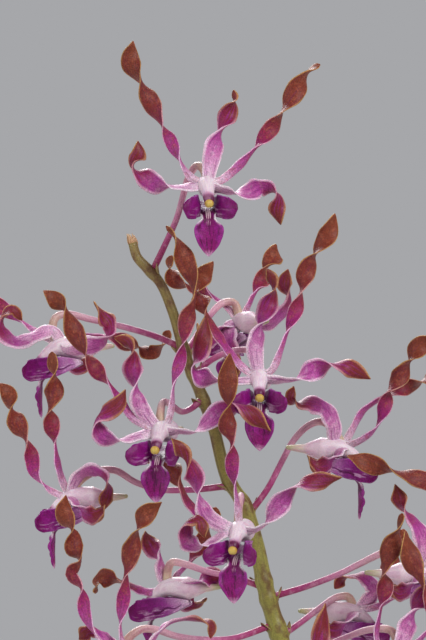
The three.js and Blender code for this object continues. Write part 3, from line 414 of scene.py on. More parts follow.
# Middle lobe of the lip: deep magenta purple, darker veined, with whitish margins at the waist.
# Its speckle is partly grain and partly painted glints of the sparkling cells.
LIP_SKIN = Finish(
    "lip_tissue",
    run=((0, "a878a0"), (0.14, "7c3474"), (0.32, "5c1050"), (0.55, "68084e"), (0.68, "7e0c66"), (0.92,
         "820e60"),
         (1, "d8a6c6")),
    rim=((0, "b088ac"), (0.2, "74286c"), (0.44, "5c0c48"), (0.5, "eedfe8"), (0.58, "f0e4ec"), (0.64,
         "96308a"), (0.95, "8a1c78"),
         (1, "dcb0ce")),
    rim_start=0.68, vein="3c042c", vein_amount=0.75, vein_count=5, drift=0.03, blotch="a4209a", blotch_mm=3,
    blotch_amount=0.4, speckle_mm=0.42, grain_and_glint_amount=0.3, relief_mm=0.12, rough=(0.32, 0.5), specular=0.25,
    soft=0.05,
)
# Side lobes of the lip: pale lilac beside the chin, purple where they flare, with whitish streaks inside.
# Its speckle is partly grain and partly painted glints of the sparkling cells.
LOBE_SKIN = Finish(
    "lip_side_lobe",
    run=((0, "d4bccf"), (0.2, "b47cac"), (0.38, "8c3484"), (0.54, "78126c"), (0.8, "7e0c6a"), (1, "6c0852")),
    rim=((0, "ccaac6"), (0.3, "a868a4"), (0.62, "9c4c98"), (0.8, "8c2c86"), (1, "7c1270")), rim_start=0.88,
    vein="d8acd0", vein_amount=0.7, vein_count=5, vein_end=0.84, vein_side=-1, drift=0.04, blotch="9c1c92",
    blotch_mm=3, blotch_amount=0.4, speckle_mm=0.42, grain_and_glint_amount=0.26, relief_mm=0.12, rough=(0.32, 0.5),
    specular=0.25, soft=0.05,
)
# The lip's raised keels: pale lilac ridges on the purple.
KEEL_SKIN = Finish(
    "lip_keel", run=((0, "8a3c70"), (0.4, "d4b4be"), (0.8, "c89cae"), (1, "7c1264")),
    grain_and_glint_amount=0.08, drift=0.02,
)
# Anther cap: a smooth waxy cap, yellow with a paler crown.
CAP_SKIN = Finish(
    "anther_cap_wax", run=((0, "d0b45c"), (0.6, "c49c42"), (1, "9c7434")), blotch="c49a45", blotch_mm=1.2,
    blotch_amount=0.4, speckle_mm=0.25, grain_and_glint_amount=0.08, rough=(0.32, 0.42), soft=0.1,
)
# Flower stem: smooth yellow olive with a purple brown flush and fine lengthwise lines.
STEM_SKIN = Finish(
    "flower_stem_skin", run=((0, "6c6430"), (0.3, "807c36"), (0.55, "949044"), (0.8, "8e8246"), (1,
    "8c7848")),
    blotch="5c2e24", blotch_mm=5, blotch_amount=0.65, vein="54401f", vein_amount=0.5, vein_count=2.6,
        drift=0.2,
    speckle_mm=0.5, grain_and_glint_amount=0.2, relief_mm=0.1, rough=(0.3, 0.46), specular=0.4,
)
# Dry bract tissue: papery, straw brown, darker at its tip.
BRACT_SKIN = Finish(
    "dry_bract", run=((0, "8d7a4c"), (0.6, "a08a5c"), (1, "6d4a34")), vein="6a5232",
    vein_amount=0.5, vein_count=4,
    grain_and_glint_amount=0.2, rough=(0.6, 0.8),
)
# Dry fibres at the stem's cut tip: cream, with orange brown ends.
FIBRE_SKIN = Finish(
    "dry_fibre", run=((0, "8a7a48"), (0.4, "c89a6e"), (1, "e0c4a0")), vein="9a5a34", vein_amount=0.6,
    grain_and_glint_amount=0.2, rough=(0.7, 0.9),
)
# Nectar: a shiny drop of clear nectar, painted pale cream to near white; the pale colour is a painted glint.
NECTAR_GLINT = Finish("nectar_drop", run=((0, "d8cfae"), (1, "f2efe4")), rough=(0.04, 0.08),
     specular=0.9, relief_mm=0)
# Cane skin: green with a soft gloss, paler at the joints, with fine lengthwise ribs.
CANE_SKIN = Finish(
    "cane_skin", run=((0, "8f8a4c"), (0.2, "7d8a45"), (0.6, "6f8740"), (1, "7f9a4c")),
    blotch="59632f", blotch_mm=12,
    blotch_amount=0.5, vein="56662c", vein_amount=0.5, vein_count=3, speckle_mm=0.8, grain_and_glint_amount=0.1,
    relief_mm=0.15, rough=(0.35, 0.5),
)
# Papery sheath on an old cane: straw coloured, split into fine fibres.
SHEATH_SKIN = Finish(
    "old_cane_sheath", run=((0, "8c7a50"), (0.3, "b3a67a"), (0.7, "c2b78e"), (1, "9a8a5c")), blotch="7c6a44",
    blotch_mm=8, blotch_amount=0.5, vein="857448", vein_amount=0.7, vein_count=5, speckle_mm=0.7,
    grain_and_glint_amount=0.18, relief_mm=0.2, rough=(0.6, 0.8),
)
# Leaf blade: leathery mid green, paler along the midrib, with fine parallel veins and a thin pale margin.
LEAF_SKIN = Finish(
    "leaf_blade", run=((0, "7e9a4e"), (0.15, "5f8a3c"), (0.6, "4f7c34"), (1, "668a3e")),
    rim=((0, "8fa65c"), (1, "93984f")), rim_start=0.93, blotch="3f6a2c", blotch_mm=14, blotch_amount=0.5,
    vein="3f6a2a", vein_amount=0.45, vein_count=12, speckle_mm=0.7, grain_and_glint_amount=0.1, relief_mm=0.12,
    rough=(0.3, 0.42),
)
# Velamen: the spongy silver coat of orchid roots, green at the growing tips.
VELAMEN = Finish(
    "velamen", run=((0, "a39a78"), (0.7, "c4c0ae"), (0.93, "b6b89a"), (1, "8fa05c")),
    blotch="8a8468", blotch_mm=5,
    blotch_amount=0.5, speckle_mm=0.6, grain_and_glint_amount=0.14, relief_mm=0.15, rough=(0.65, 0.85),
)
# Fir bark: rough chips from grey brown to red brown.
BARK = Finish(
    "fir_bark", run=((0, "4d3222"), (0.35, "6e452b"), (0.7, "85583a"), (1, "9a7452")),
    blotch="3a261b", blotch_mm=4,
    blotch_amount=0.6, vein="3d281c", vein_amount=0.5, vein_count=3, speckle_mm=0.9, grain_and_glint_amount=0.3,
    relief_mm=0.5, rough=(0.75, 0.95), specular=0.3,
)
# Turned terracotta: matt fired clay with lime bloom near the foot and fine turning lines.
TERRACOTTA = Finish(
    "terracotta", run=((0, "b9805f"), (0.12, "b3683f"), (0.8, "b86a40"), (1, "ba7048")),
    blotch="cda488", blotch_mm=22,
    blotch_amount=0.5, vein="9a5433", vein_amount=0.15, vein_count=2, speckle_mm=0.9, grain_and_glint_amount=0.12,
    relief_mm=0.12, rough=(0.78, 0.92), specular=0.3,
)


def smoothed(values: np.ndarray, reach: int) -> np.ndarray:
    """Evens a run of values out over their neighbours.

    Args:
        values: one number per station.
        reach: how many stations to each side count.

    Returns:
        The evened values, as many as before.
    """
    weights = np.hanning(2 * reach + 3)[1:-1]
    return np.convolve(np.pad(values, reach, mode="edge"), weights / weights.sum(), mode="valid")


def read_off(profile: Profile, share: np.ndarray) -> np.ndarray:
    """Reads values off a list of (share, value) pairs."""
    return np.interp(share, [pair[0] for pair in profile], [pair[1] for pair in profile])


def turned(points: np.ndarray, degrees: float) -> np.ndarray:
    """Turns points about the Z axis."""
    c, s = math.cos(math.radians(degrees)), math.sin(math.radians(degrees))
    return points @ np.array([[c, s, 0], [-s, c, 0], [0, 0, 1]])


def mark(mesh: bpy.types.Mesh, surface: np.ndarray) -> None:
    """Keeps each point's place across, along and its piece's tint as the surface attribute."""
    values = surface.astype(np.float32).ravel()
    mesh.attributes.new(SURFACE, "FLOAT_VECTOR", "POINT").data.foreach_set("vector", values)


def take_apart(form: bpy.types.Object) -> tuple[np.ndarray, list[list[int]]]:
    """Reads the points and faces of a modelled form, and removes it."""
    points = np.array([vertex.co[:] for vertex in form.data.vertices])
    faces = [list(face.vertices) for face in form.data.polygons]
    bpy.data.objects.remove(form)
    return points, faces


@dataclass(frozen=True)
class Spine:
    """Even stations along a smooth curve through a route's points.

    Attributes:
        share: how far along each station is, from 0 to 1.
        place: its point.
        along: the curve's direction there.
        extra: the route's fourth value there.
    """

    share: np.ndarray
    place: np.ndarray
    along: np.ndarray
    extra: np.ndarray

    @classmethod
    def through(cls, route: Route, steps: int) -> Spine:
        """Walks the route in even steps.

        Args:
            route: points as [x, y, z] or [x, y, z, extra].
            steps: how many steps to take.

        Returns:
            The stations.
        """
        points = np.array([point[:3] for point in route], dtype=float)
        extras = [point[3] if len(point) > 3 else 0.0 for point in route]
        fine = np.linspace(0, 1, 201)
        lengths = np.linalg.norm(np.diff(cls._curve(points, fine), axis=0), axis=1)
        reached = np.concatenate([[0], np.cumsum(lengths)])
        share = np.linspace(0, 1, steps + 1)
        t = np.interp(share * reached[-1], reached, fine)
        ahead = cls._curve(points, np.minimum(t + 1e-4, 1)) - cls._curve(points, np.maximum(t - 1e-4, 0))
        along = ahead / np.linalg.norm(ahead, axis=1)[:, None]
        extra = np.interp(t * (len(route) - 1), range(len(route)), extras)
        return cls(share, cls._curve(points, t), along, extra)

    @staticmethod
    def _curve(points: np.ndarray, t: np.ndarray) -> np.ndarray:
        """Gives points of a centripetal Catmull-Rom curve.

        Args:
            points: the points that the curve runs through.
            t: parameters from 0 to 1.

        Returns:
            A point for each parameter.
        """
        spans = len(points) - 1
        padded = np.vstack([2 * points[0] - points[1], points, 2 * points[-1] - points[-2]])
        span = np.minimum((t * spans).astype(int), spans - 1)
        w = (t * spans - span)[:, None]
        p0, p1, p2, p3 = (padded[span + k] for k in range(4))
        pairs = ((p0, p1), (p1, p2), (p2, p3))
        d0, d1, d2 = (np.sqrt(np.linalg.norm(b - a, axis=1))[:, None] for a, b in pairs)
        start = ((p1 - p0) / d0 - (p2 - p0) / (d0 + d1) + (p2 - p1) / d1) * d1
        end = ((p2 - p1) / d1 - (p3 - p1) / (d1 + d2) + (p3 - p2) / d2) * d1
        squared, cubed = 3 * (p2 - p1) - 2 * start - end, 2 * (p1 - p2) + start + end
        return p1 + start * w + squared * w**2 + cubed * w**3


@dataclass(frozen=True)
class Shell:
    """Rings of points that a closed shell runs through, with each point's place on the surface."""

    rings: np.ndarray
    surface: np.ndarray


@dataclass(frozen=True)
class Blade:
    """How a tepal, lobe, leaf or bract is cut.

    Attributes:
        width: full width.
        outline: width along the blade.
        thickness: at the middle.
        cup: how far the middle sinks, as a share of the half-width.
        keel: how far a sharp fold sinks along the middle.
        ripple: height of the waves along the margins.
        waves: how many waves the length has.
        steps: stations along the blade.
        columns: points across each face.
        facing: the direction that the blade faces where its turn is 0, against it.
    """

    width: float
    outline: Profile
    thickness: float = BLADE
    cup: float = 0.0
    keel: float = 0.0
    ripple: float = 0.0
    waves: float = 6.0
    steps: int = 60
    columns: int = 9
    facing: tuple[float, float, float] = (0.0, 1.0, 0.0)

    def shell(self, route: Route, tint: float, scale: float = 1.0) -> Shell:
        """Cuts the blade along a route.

        Args:
            route: points as [x, y, z, turn].
            tint: the blade's own number from 0 to 1, for its colour and waves.
            scale: factor on its widths.

        Returns:
            The blade's rings.
        """
        spine = Spine.through(route, self.steps)
        evening = max(self.steps // 20, 1)
        flat = np.cross(spine.along, self.facing)
        flat /= np.linalg.norm(flat, axis=1)[:, None]
        angle = (math.pi * smoothed(spine.extra, evening))[:, None]
        side = flat * np.cos(angle) + np.cross(spine.along, flat) * np.sin(angle)
        up = np.cross(spine.along, side)
        step = np.linalg.norm(np.gradient(spine.place, axis=0), axis=1)
        bend = np.abs((np.gradient(spine.along, axis=0) * side).sum(axis=1)) / step
        wanted = self.width * scale / 2 * read_off(self.outline, spine.share)
        half = np.minimum(wanted, smoothed(np.minimum(wanted, BEND_ROOM / np.maximum(bend, 1e-6)), evening))
        across = np.linspace(-1, 1, self.columns)
        across = np.sign(across) * np.abs(across) ** 0.8
        ring = np.concatenate([-across, across])
        sign = np.concatenate([np.ones(self.columns), -np.ones(self.columns)])
        thick = self.thickness / 2 * np.sqrt(1 - THINNING * ring**2) * sign
        dish = (half * self.cup)[:, None] * (ring**2 - 1) * -1
        fold = self.keel * scale * read_off(self.outline, spine.share)[:, None] * (1 - np.abs(ring)) ** 1.3
        beat = 2 * math.pi * (self.waves * spine.share[:, None] + tint * 7 + 0.27 * np.sign(ring))
        wave = self.ripple * np.sin(beat) * np.abs(ring) ** 3 * (half / (self.width * scale / 2))[:, None]
        lift = thick[None, :] * np.minimum(1, half / self.thickness)[:, None] + dish + fold + wave
        rings = (
            spine.place[:, None, :]
            + side[:, None, :] * (half[:, None] * ring)[:, :, None]
            + up[:, None, :] * lift[:, :, None]
        )
        surface = np.stack(np.broadcast_arrays(ring[None, :], spine.share[:, None], tint), axis=-1)
        return Shell(rings, surface.astype(float))


OPEN = (False, False)  # a limb with two flat ends


def round_shell(
    route: Route, radii: Profile | None, sides: int, steps: int, tint: float, flat: float = 1.0,
    swell: Profile = ((0, 1), (1, 1)), domed: tuple[bool, bool] = (False, True),
) -> Shell:
    """Makes a round limb of changing radius along a route.

    Args:
        route: points as [x, y, z], or [x, y, z, radius] where radii is none.
        radii: radius along the limb.
        sides: points round each ring.
        steps: stations along the limb.
        tint: the limb's own number from 0 to 1.
        flat: the limb's thickness as a share of its width.
        swell: factor on the radius along the limb, such as joints.
        domed: whether its near and its far end are rounded off.

    Returns:
        The limb's rings.
    """
    spine = Spine.through(route, steps)
    radius = (spine.extra if radii is None else read_off(radii, spine.share)) * read_off(swell, spine.share)
    side = np.cross(spine.along[0], (0, 0, 1) if abs(spine.along[0][2]) < 0.9 else (1, 0, 0))
    place, along, share = spine.place, spine.along, spine.share
    turns = np.radians(DOME_TURNS)
    for end, sign in ((0, -1), (-1, 1)):
        if not domed[end]:
            continue
        dome = place[end] + along[end] * (sign * radius[end] * np.sin(turns))[:, None]
        ahead = np.repeat(along[end][None, :], len(turns), axis=0)
        added = (dome, ahead, np.full(len(turns), share[end]), radius[end] * np.cos(turns))
        rows = ((place, added[0]), (along, added[1]), (share, added[2]), (radius, added[3]))
        place, along, share, radius = (
            np.concatenate([new[::-1], old] if sign < 0 else [old, new]) for old, new in rows
        )
    angle = np.linspace(0, 2 * math.pi, sides, endpoint=False)
    rings = []
    for point, ahead, wide in zip(place, along, radius):
        side = side - ahead * np.dot(side, ahead)
        side /= np.linalg.norm(side)
        up = np.cross(ahead, side)
        rings.append(point + np.outer(np.cos(angle) * wide, side) + np.outer(np.sin(angle) * wide * flat, up))
    surface = np.stack(np.broadcast_arrays(np.cos(angle)[None, :], share[:, None], tint), axis=-1)
    return Shell(np.array(rings), surface.astype(float))


@dataclass
class Piece:
    """One finished piece in the making, as points and faces in millimetres.

    Attributes:
        name: the piece's name.
        node: the solid that it replaces.
        slot: the record's material slot; not used.
        finishes: its finishes, in the order that faces name them.
        hub: where its own origin goes.
        yaw: degrees that it is turned about Z.
    """

    name: str
    node: str
    slot: str
    finishes: tuple[Finish, ...]
    hub: tuple[float, float, float] = (0.0, 0.0, 0.0)
    yaw: float = 0.0
    points: list[np.ndarray] = field(default_factory=list)
    surface: list[np.ndarray] = field(default_factory=list)
    faces: list[list[int]] = field(default_factory=list)
    marks: list[int] = field(default_factory=list)
    count: int = 0

    def add_shell(self, shell: Shell, finish: int = 0, turn: bool = True) -> None:
        """Adds a closed shell through rings of points.

        Args:
            shell: the rings.
            finish: which of the piece's finishes it has.
            turn: whether it turns with the piece's yaw.
        """
        rings, sides = shell.rings.shape[:2]
        grid = self.count + np.arange(rings * sides).reshape(rings, sides)
        near, far = grid[:-1], grid[1:]
        quads = np.stack([near, np.roll(near, -1, 1), np.roll(far, -1, 1), far], axis=-1).reshape(-1, 4)
        faces = quads.tolist() + [grid[0][::-1].tolist(), grid[-1].tolist()]
        self.add_mesh(shell.rings.reshape(-1, 3), shell.surface.reshape(-1, 3), faces, finish, turn)

    def add_mesh(
        self, points: np.ndarray, surface: np.ndarray, faces: list[list[int]], finish: int = 0,
        turn: bool = True,
    ) -> None:
        """Adds points and the faces that number them.

        Args:
            points: their places.
            surface: place across, along and tint of each.
            faces: lists of numbers that count on from the piece's own.
            finish: which of the piece's finishes they have.
            turn: whether they turn with the piece's yaw.
        """
        self.points.append((turned(points, self.yaw) if turn else points) + self.hub)
        self.surface.append(surface)
        self.faces.extend(faces)
        self.marks.extend([finish] * len(faces))
        self.count += len(points)

    def finish(self, dresser: Dresser) -> bpy.types.Object:
        """Makes the mesh, dresses it and fits it to the frame.

        Args:
            dresser: the materials.

        Returns:
            The piece's object.
        """
        mesh = bpy.data.meshes.new(self.name)
        mesh.from_pydata((np.concatenate(self.points) * MM).tolist(), [], self.faces)
        mark(mesh, np.concatenate(self.surface))
        mesh.polygons.foreach_set("material_index", self.marks)
        made = bpy.data.objects.new(self.name, mesh)
        bpy.context.scene.collection.objects.link(made)
        return dresser.fit(made, self.node, self.finishes)


@dataclass
class Dresser:
    """Holds the materials, each made once, and fits pieces to the frame."""

    made: dict[str, bpy.types.Material] = field(default_factory=dict)

    def fit(
        self, piece: bpy.types.Object, node: str, finishes: tuple[Finish, ...]
    ) -> bpy.types.Object:
        """Dresses a piece, turns its faces out and gives it its place in the frame.

        Args:
            piece: the object, with its place in its mesh.
            node: the solid that it replaces.
            finishes: its finishes, in the order that its faces name them.

        Returns:
            The same object.
        """
        for finish in finishes:
            if finish.name not in self.made:
                self.made[finish.name] = finish.material()
            piece.data.materials.append(self.made[finish.name])
        select_only(piece)
        bpy.ops.object.mode_set(mode="EDIT")
        bpy.ops.mesh.select_all(action="SELECT")
        bpy.ops.mesh.normals_make_consistent(inside=False)
        bpy.ops.object.mode_set(mode="OBJECT")
        bpy.ops.object.shade_smooth()
        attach(piece, "root")
        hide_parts(node)
        LOG.info("%s: %d faces for %s", piece.name, len(piece.data.polygons), node)
        return piece


def select_only(piece: bpy.types.Object) -> None:
    """Selects one object and makes it active."""
    bpy.ops.object.select_all(action="DESELECT")
    piece.select_set(True)
    bpy.context.view_layer.objects.active = piece


def mirrored(routes: list[Route]) -> list[Route]:
    """Swaps the left and right of routes, and the way that they twist."""
    return [[[-x, y, z, -turn] for x, y, z, turn in route] for route in routes]


@dataclass
class Bloom:
    """One twisted bloom, given by its hub and the routes of its parts from there.

    Attributes:
        hub: the point where its tepals meet.
        yaw: degrees that the column and lip are turned about Z, where 0 faces the viewer.
        mentum: how far the chin leans to the side.
        dorsal: route of the upper sepal.
        petals: routes of the two petals.
        laterals: routes of the two lower sepals.
        stalk: route of the stalk, from the stem.
        whole: whether the routes turn too.
    """

    hub: list[float]
    yaw: float
    mentum: float
    dorsal: Route
    petals: list[Route]
    laterals: list[Route]
    stalk: Route
    whole: bool = False

    PETAL = Blade(PETAL_WIDTH, PETAL_OUTLINE, cup=0.16, ripple=0.3, waves=7)
    SEPAL = Blade(SEPAL_WIDTH, SEPAL_OUTLINE, cup=0.2, ripple=0.35, waves=5)
    MIDLOBE = Blade(MIDLOBE_WIDTH, MIDLOBE_OUTLINE, cup=-0.3, ripple=0.5, waves=5, steps=72, columns=13)
    SIDELOBE = Blade(SIDELOBE_WIDTH, SIDELOBE_OUTLINE, cup=0.16, ripple=0.5, waves=5, steps=44, columns=13)

    def build(self, number: int, dresser: Dresser) -> None:
        """Builds the tepals with column and stalk, the lip and the anther cap.

        Args:
            number: the bloom's number, from 1.
            dresser: the materials.
        """
        label = f"{number:02d}"
        chance = Random(number)
        self._tepals(label, chance).finish(dresser)
        self._lip(label, chance).finish(dresser)
        self._cap(label).finish(dresser)

    def _piece(self, part: str, label: str, *finishes: Finish) -> Piece:
        """Starts one of the bloom's pieces, at its hub and turned with it."""
        return Piece(f"bloom_{label}_{part}", f"{part}_{label}", part, finishes, tuple(self.hub), self.yaw)

    def _tepals(self, label: str, chance: Random) -> Piece:
        """Builds the five tepals, the column with its chin, and the stalk, as one piece."""
        piece = self._piece("tepals", label, PETAL_SKIN, SEPAL_SKIN, CORE_SKIN, STALK_SKIN)
        for route in self.petals:
            piece.add_shell(self.PETAL.shell(route, chance.random()), 0, self.whole)
        for route in (self.dorsal, *self.laterals):
            piece.add_shell(self.SEPAL.shell(route, chance.random()), 1, self.whole)
        core = [
            [x + self.mentum * max(1 - i / CHIN_POINTS, 0), y, z, radius]
            for i, (x, y, z, radius) in enumerate(CORE)
        ]
        piece.add_shell(round_shell(core, None, 20, 48, chance.random(), domed=(True, True)), 2)
        widths = tuple((i / 4, STALK_RADIUS * n) for i, n in enumerate((1.12, 1, 1, 1.2, 1.5)))
        piece.add_shell(round_shell(self.stalk, widths, 12, 36, chance.random()), 3, self.whole)
        return piece

    def _lip(self, label: str, chance: Random) -> Piece:
        """Builds the lip: the waisted middle lobe, two side lobes and the raised keels."""
        piece = self._piece("lip", label, LIP_SKIN, KEEL_SKIN, LOBE_SKIN)
        piece.add_shell(self.MIDLOBE.shell(MIDLOBE_ROUTE, chance.random()))
        for side in (1, -1):
            route = [[side * x, y, z, side * turn] for x, y, z, turn in SIDELOBE_ROUTE]
            lobe = replace(self.SIDELOBE, facing=(side * SIDE_FACING[0], *SIDE_FACING[1:]))
            shell = lobe.shell(route, chance.random())
            shell.surface[..., 0] *= side
            piece.add_shell(shell, 2)
        for x in (-KEEL_APART, 0.0, KEEL_APART):
            keel = [[x, -1, -9.3], [x, -3.5, -10.1], [x, -5.5, -12.2], [0.8 * x, -6.4, -15]]
            radii = ((0, 0.2), (0.5, 0.28), (1, 0.1))
            piece.add_shell(round_shell(keel, radii, 8, 16, chance.random()), 1)
        return piece

    def _cap(self, label: str) -> Piece:
        """Builds the anther cap, a low dome with a groove, just off the column's end."""
        piece = self._piece("anther_cap", label, CAP_SKIN)
        end, before = (np.array(point[:3], dtype=float) for point in (CORE[-1], CORE[-2]))
        ahead = (end - before) / np.linalg.norm(end - before)
        centre = end + ahead * (CAP_RADIUS + CAP_GAP)
        points, surface, faces = CapForm.shape()
        frame = np.array([[1, 0, 0], np.cross(ahead, [1, 0, 0]), ahead])
        piece.add_mesh(points @ frame + centre, surface, faces)
        return piece


class CapForm:
    """The anther cap's form, modelled once and copied to every bloom."""

    made: tuple[np.ndarray, np.ndarray, list[list[int]]] | None = None

    @classmethod
    def shape(cls) -> tuple[np.ndarray, np.ndarray, list[list[int]]]:
        """Gives the cap about its own centre, with its top along +Z.

        Returns:
            Points, their places on the surface, and faces.
        """
        if cls.made is None:
            bpy.ops.object.select_all(action="DESELECT")
            bpy.ops.mesh.primitive_uv_sphere_add(segments=24, ring_count=14, radius=CAP_RADIUS)
            points, faces = take_apart(bpy.context.active_object)
            points[:, 2] *= np.where(points[:, 2] < 0, 0.8, 0.95)
            groove = np.exp(-((points[:, 0] / (0.22 * CAP_RADIUS)) ** 2))
            points *= (1 - 0.12 * groove * (points[:, 2] > -0.2))[:, None]
            height = 0.5 - points[:, 2] / (2 * CAP_RADIUS)
            surface = np.stack([points[:, 0] / CAP_RADIUS, height, np.full(len(points), 0.5)], axis=1)
            cls.made = points, surface, faces
        return cls.made


@dataclass
class FlowerStem:
    """The spray's stem with a bract at each joint, sheaths lower down and the dry cut tip."""

    route: Route
    joints: list[tuple[np.ndarray, np.ndarray]]
    sheaths: tuple[float, ...] = (0.1, 0.22, 0.34)

    BRACT = Blade(
        3.4, ((0, 0.7), (0.35, 1), (0.75, 0.62), (1, 0.08)), thickness=0.4, cup=0.5, steps=12, columns=7
    )
    FIBRE = Blade(1.3, ((0, 0.8), (0.6, 1), (1, 0.2)), thickness=0.35, steps=8, columns=5)

    def build(self, dresser: Dresser) -> None:
        """Builds the stem as one piece."""
        piece = Piece("flower_stem", "spray_stem", "stem", (STEM_SKIN, BRACT_SKIN, FIBRE_SKIN, NECTAR_GLINT))
        spine = Spine.through(self.route, STEM_STEPS)
        shares = sorted(
            spine.share[np.argmin(np.linalg.norm(spine.place - place, axis=1))] for place, _ in self.joints
        )
        fine = np.linspace(0, 1, 301)
        joints = sum(0.16 * np.exp(-(((fine - share) / 0.006) ** 2)) for share in shares)
        swell = tuple(zip(fine, 1 + joints))
        piece.add_shell(round_shell(self.route, None, 20, 300, 0.5, swell=swell, domed=OPEN))
        chance = Random(3)
        for place, ahead in self.joints:
            station = int(np.argmin(np.linalg.norm(spine.place - place, axis=1)))
            self._bract(piece, spine, station, ahead, chance)
        for share in self.sheaths:
            self._sheath(piece, spine, share, chance)
        self._tip(piece, spine, chance)
        piece.finish(dresser)

    def _bract(self, piece: Piece, spine: Spine, station: int, ahead: np.ndarray, chance: Random) -> None:
        """Adds the small bract below one flower stalk."""
        out = ahead - spine.along[station] * np.dot(ahead, spine.along[station])
        out /= np.linalg.norm(out)
        up = spine.along[station]
        foot = spine.place[station] + out * (spine.extra[station] - 0.3) - up * 2.2
        reach = 4.2 + 1.6 * chance.random()
        route = [
            [*foot, 0], [*(foot + out * 0.9 + up * 0.3 * reach), 0],
            [*(foot + out * 2.2 + up * 0.66 * reach), 0],
            [*(foot + out * 3.1 + up * reach), 0],
        ]
        piece.add_shell(replace(self.BRACT, facing=tuple(out)).shell(route, chance.random()), 1)
        # At some joints, a shiny nectar drop whose pale colour is a painted glint.
        if chance.random() < 0.5:
            drop = spine.place[station] + out * (spine.extra[station] + 0.2) + up * 0.8
            run = [[*(drop - up * 0.3)], [*drop], [*(drop + up * 0.2)]]
            piece.add_shell(round_shell(run, ((0, 0.1), (0.5, 0.5), (1, 0.45)), 10, 4, 0.5), 3)

    def _sheath(self, piece: Piece, spine: Spine, share: float, chance: Random) -> None:
        """Adds a papery sheath that clasps the stem."""
        start = int(share * STEM_STEPS)
        run = spine.place[start : start + 10 : 3]
        wide = spine.extra[start]
        radii = ((0, wide * 1.04), (0.6, wide + 0.5), (1, wide + 0.75))
        route = [list(point) for point in run]
        piece.add_shell(round_shell(route, radii, 20, 12, chance.random(), domed=OPEN), 1)

    def _tip(self, piece: Piece, spine: Spine, chance: Random) -> None:
        """Adds the dry fibres of the cut tip."""
        end, ahead = spine.place[-1], spine.along[-1]
        for i in range(9):
            angle = 2.4 * i
            out = np.array([math.cos(angle), math.sin(angle), 0.0])
            foot = end + out * 0.7 - ahead * 2.5
            reach = 2.0 + 1.6 * chance.random()
            top = end + out * (0.9 + 0.5 * chance.random()) + ahead * reach
            middle = (foot + top) / 2 + out * 0.3
            route = [[*foot, 0], [*middle, 0.1], [*top, 0.3]]
            piece.add_shell(self.FIBRE.shell(route, chance.random()), 2)


@dataclass
class Cane:
    """A cane with its two ranks of clasping leaves.

    Attributes:
        route: points as [x, y, z, radius].
        azimuth: degrees of the first rank of leaves.
        leaves: shares of the length that have a leaf.
    """

    route: Route
    azimuth: float
    leaves: list[float]

    LENGTH = 88.0
    LEAF = Blade(
        25, LEAF_OUTLINE, thickness=1.3, cup=-0.05, keel=-2.4, ripple=0.9, waves=3, steps=36, columns=15,
        facing=(0.0, 0.0, 1.0),
    )

    def build(self, number: int, dresser: Dresser) -> None:
        """Builds the cane with its leaves as one piece.

        Args:
            number: the cane's number, from 1.
            dresser: the materials.
        """
        old = not self.leaves
        skins = (SHEATH_SKIN,) if old else (CANE_SKIN, LEAF_SKIN, SHEATH_SKIN)
        piece = Piece(f"leafy_cane_{number}", f"cane_{number}", "old_cane" if old else "cane", skins)
        chance = Random(20 + number)
        joints = [0.08 * i for i in range(1, 5)] + (self.leaves or [0.45, 0.58, 0.7, 0.82, 0.93])
        fine = np.linspace(0, 1, 241)
        rings = sum(0.09 * np.exp(-(((fine - share) / 0.008) ** 2)) for share in joints)
        waists = sum(0.05 * np.exp(-(((fine - share - 0.015) / 0.012) ** 2)) for share in joints)
        swell = tuple(zip(fine, 1 + rings - waists))
        piece.add_shell(round_shell(self.route, None, 24, 240, chance.random(), swell=swell))
        spine = Spine.through(self.route, CANE_STEPS)
        for i, share in enumerate(self.leaves):
            station = round(share * CANE_STEPS)
            turn = math.radians(self.azimuth + (i % 2) * 180 + (i * 37) % 17 - 8)
            scale = 0.82 + 0.18 * math.sin(math.pi * (i + 1) / (len(self.leaves) + 1))
            self._leaf(piece, spine, station, turn, scale, chance)
        piece.finish(dresser)

    def _leaf(
        self, piece: Piece, spine: Spine, station: int, turn: float, scale: float, chance: Random
    ) -> None:
        """Adds one arching leaf with the sheath that clasps the cane."""
        place, ahead = spine.place[station], spine.along[station]
        out = np.array([math.cos(turn), math.sin(turn), 0.0])
        reaches = ((0.02, -0.02), (0.12, 0.12), (0.32, 0.28), (0.6, 0.34), (0.9, 0.22))
        reach = self.LENGTH * scale
        route = [[*(place + out * o * reach + ahead * a * reach), 0] for o, a in reaches]
        piece.add_shell(self.LEAF.shell(route, chance.random(), scale), 1)
        low = max(station - 8, 0)
        run = [list(spine.place[k]) for k in np.linspace(low, station, 4).astype(int)]
        wide = spine.extra[low], spine.extra[station]
        radii = ((0, wide[0] * 1.02), (0.8, wide[1] + 0.5), (1, wide[1] + 0.8))
        piece.add_shell(round_shell(run, radii, 24, 10, chance.random(), domed=OPEN), 0)


@dataclass
class Rhizome:
    """The creeping rhizome with roots that run out over the bark and dive in."""

    route: Route
    at: list[list[float]]
    reach: float = 17.0
    dive: float = 14.0
    radius: float = 1.7

    def build(self, dresser: Dresser) -> None:
        """Builds the rhizome and its roots as one piece."""
        piece = Piece("rhizome_with_roots", "rhizome_and_roots", "roots", (SHEATH_SKIN, VELAMEN))
        fine = np.linspace(0, 1, 121)
        swell = tuple(zip(fine, 1 + 0.06 * np.abs(np.sin(fine * math.pi * 9)) ** 0.5 - 0.03))
        piece.add_shell(round_shell(self.route, None, 20, 120, 0.4, swell=swell))
        for i, (x, side) in enumerate(self.at):
            lean = i % 3 - 1
            route = [
                [x, 0, 102], [x + lean * 3, side * 8, 102], [x + lean * 7, side * self.reach, 100],
                [x + lean * 9, side * (self.reach + 6), 100 - self.dive],
            ]
            radii = tuple((k / 3, self.radius * n) for k, n in enumerate((1.2, 1, 1, 0.7)))
            piece.add_shell(round_shell(route, radii, 14, 40, i / 6), 1)
        piece.finish(dresser)


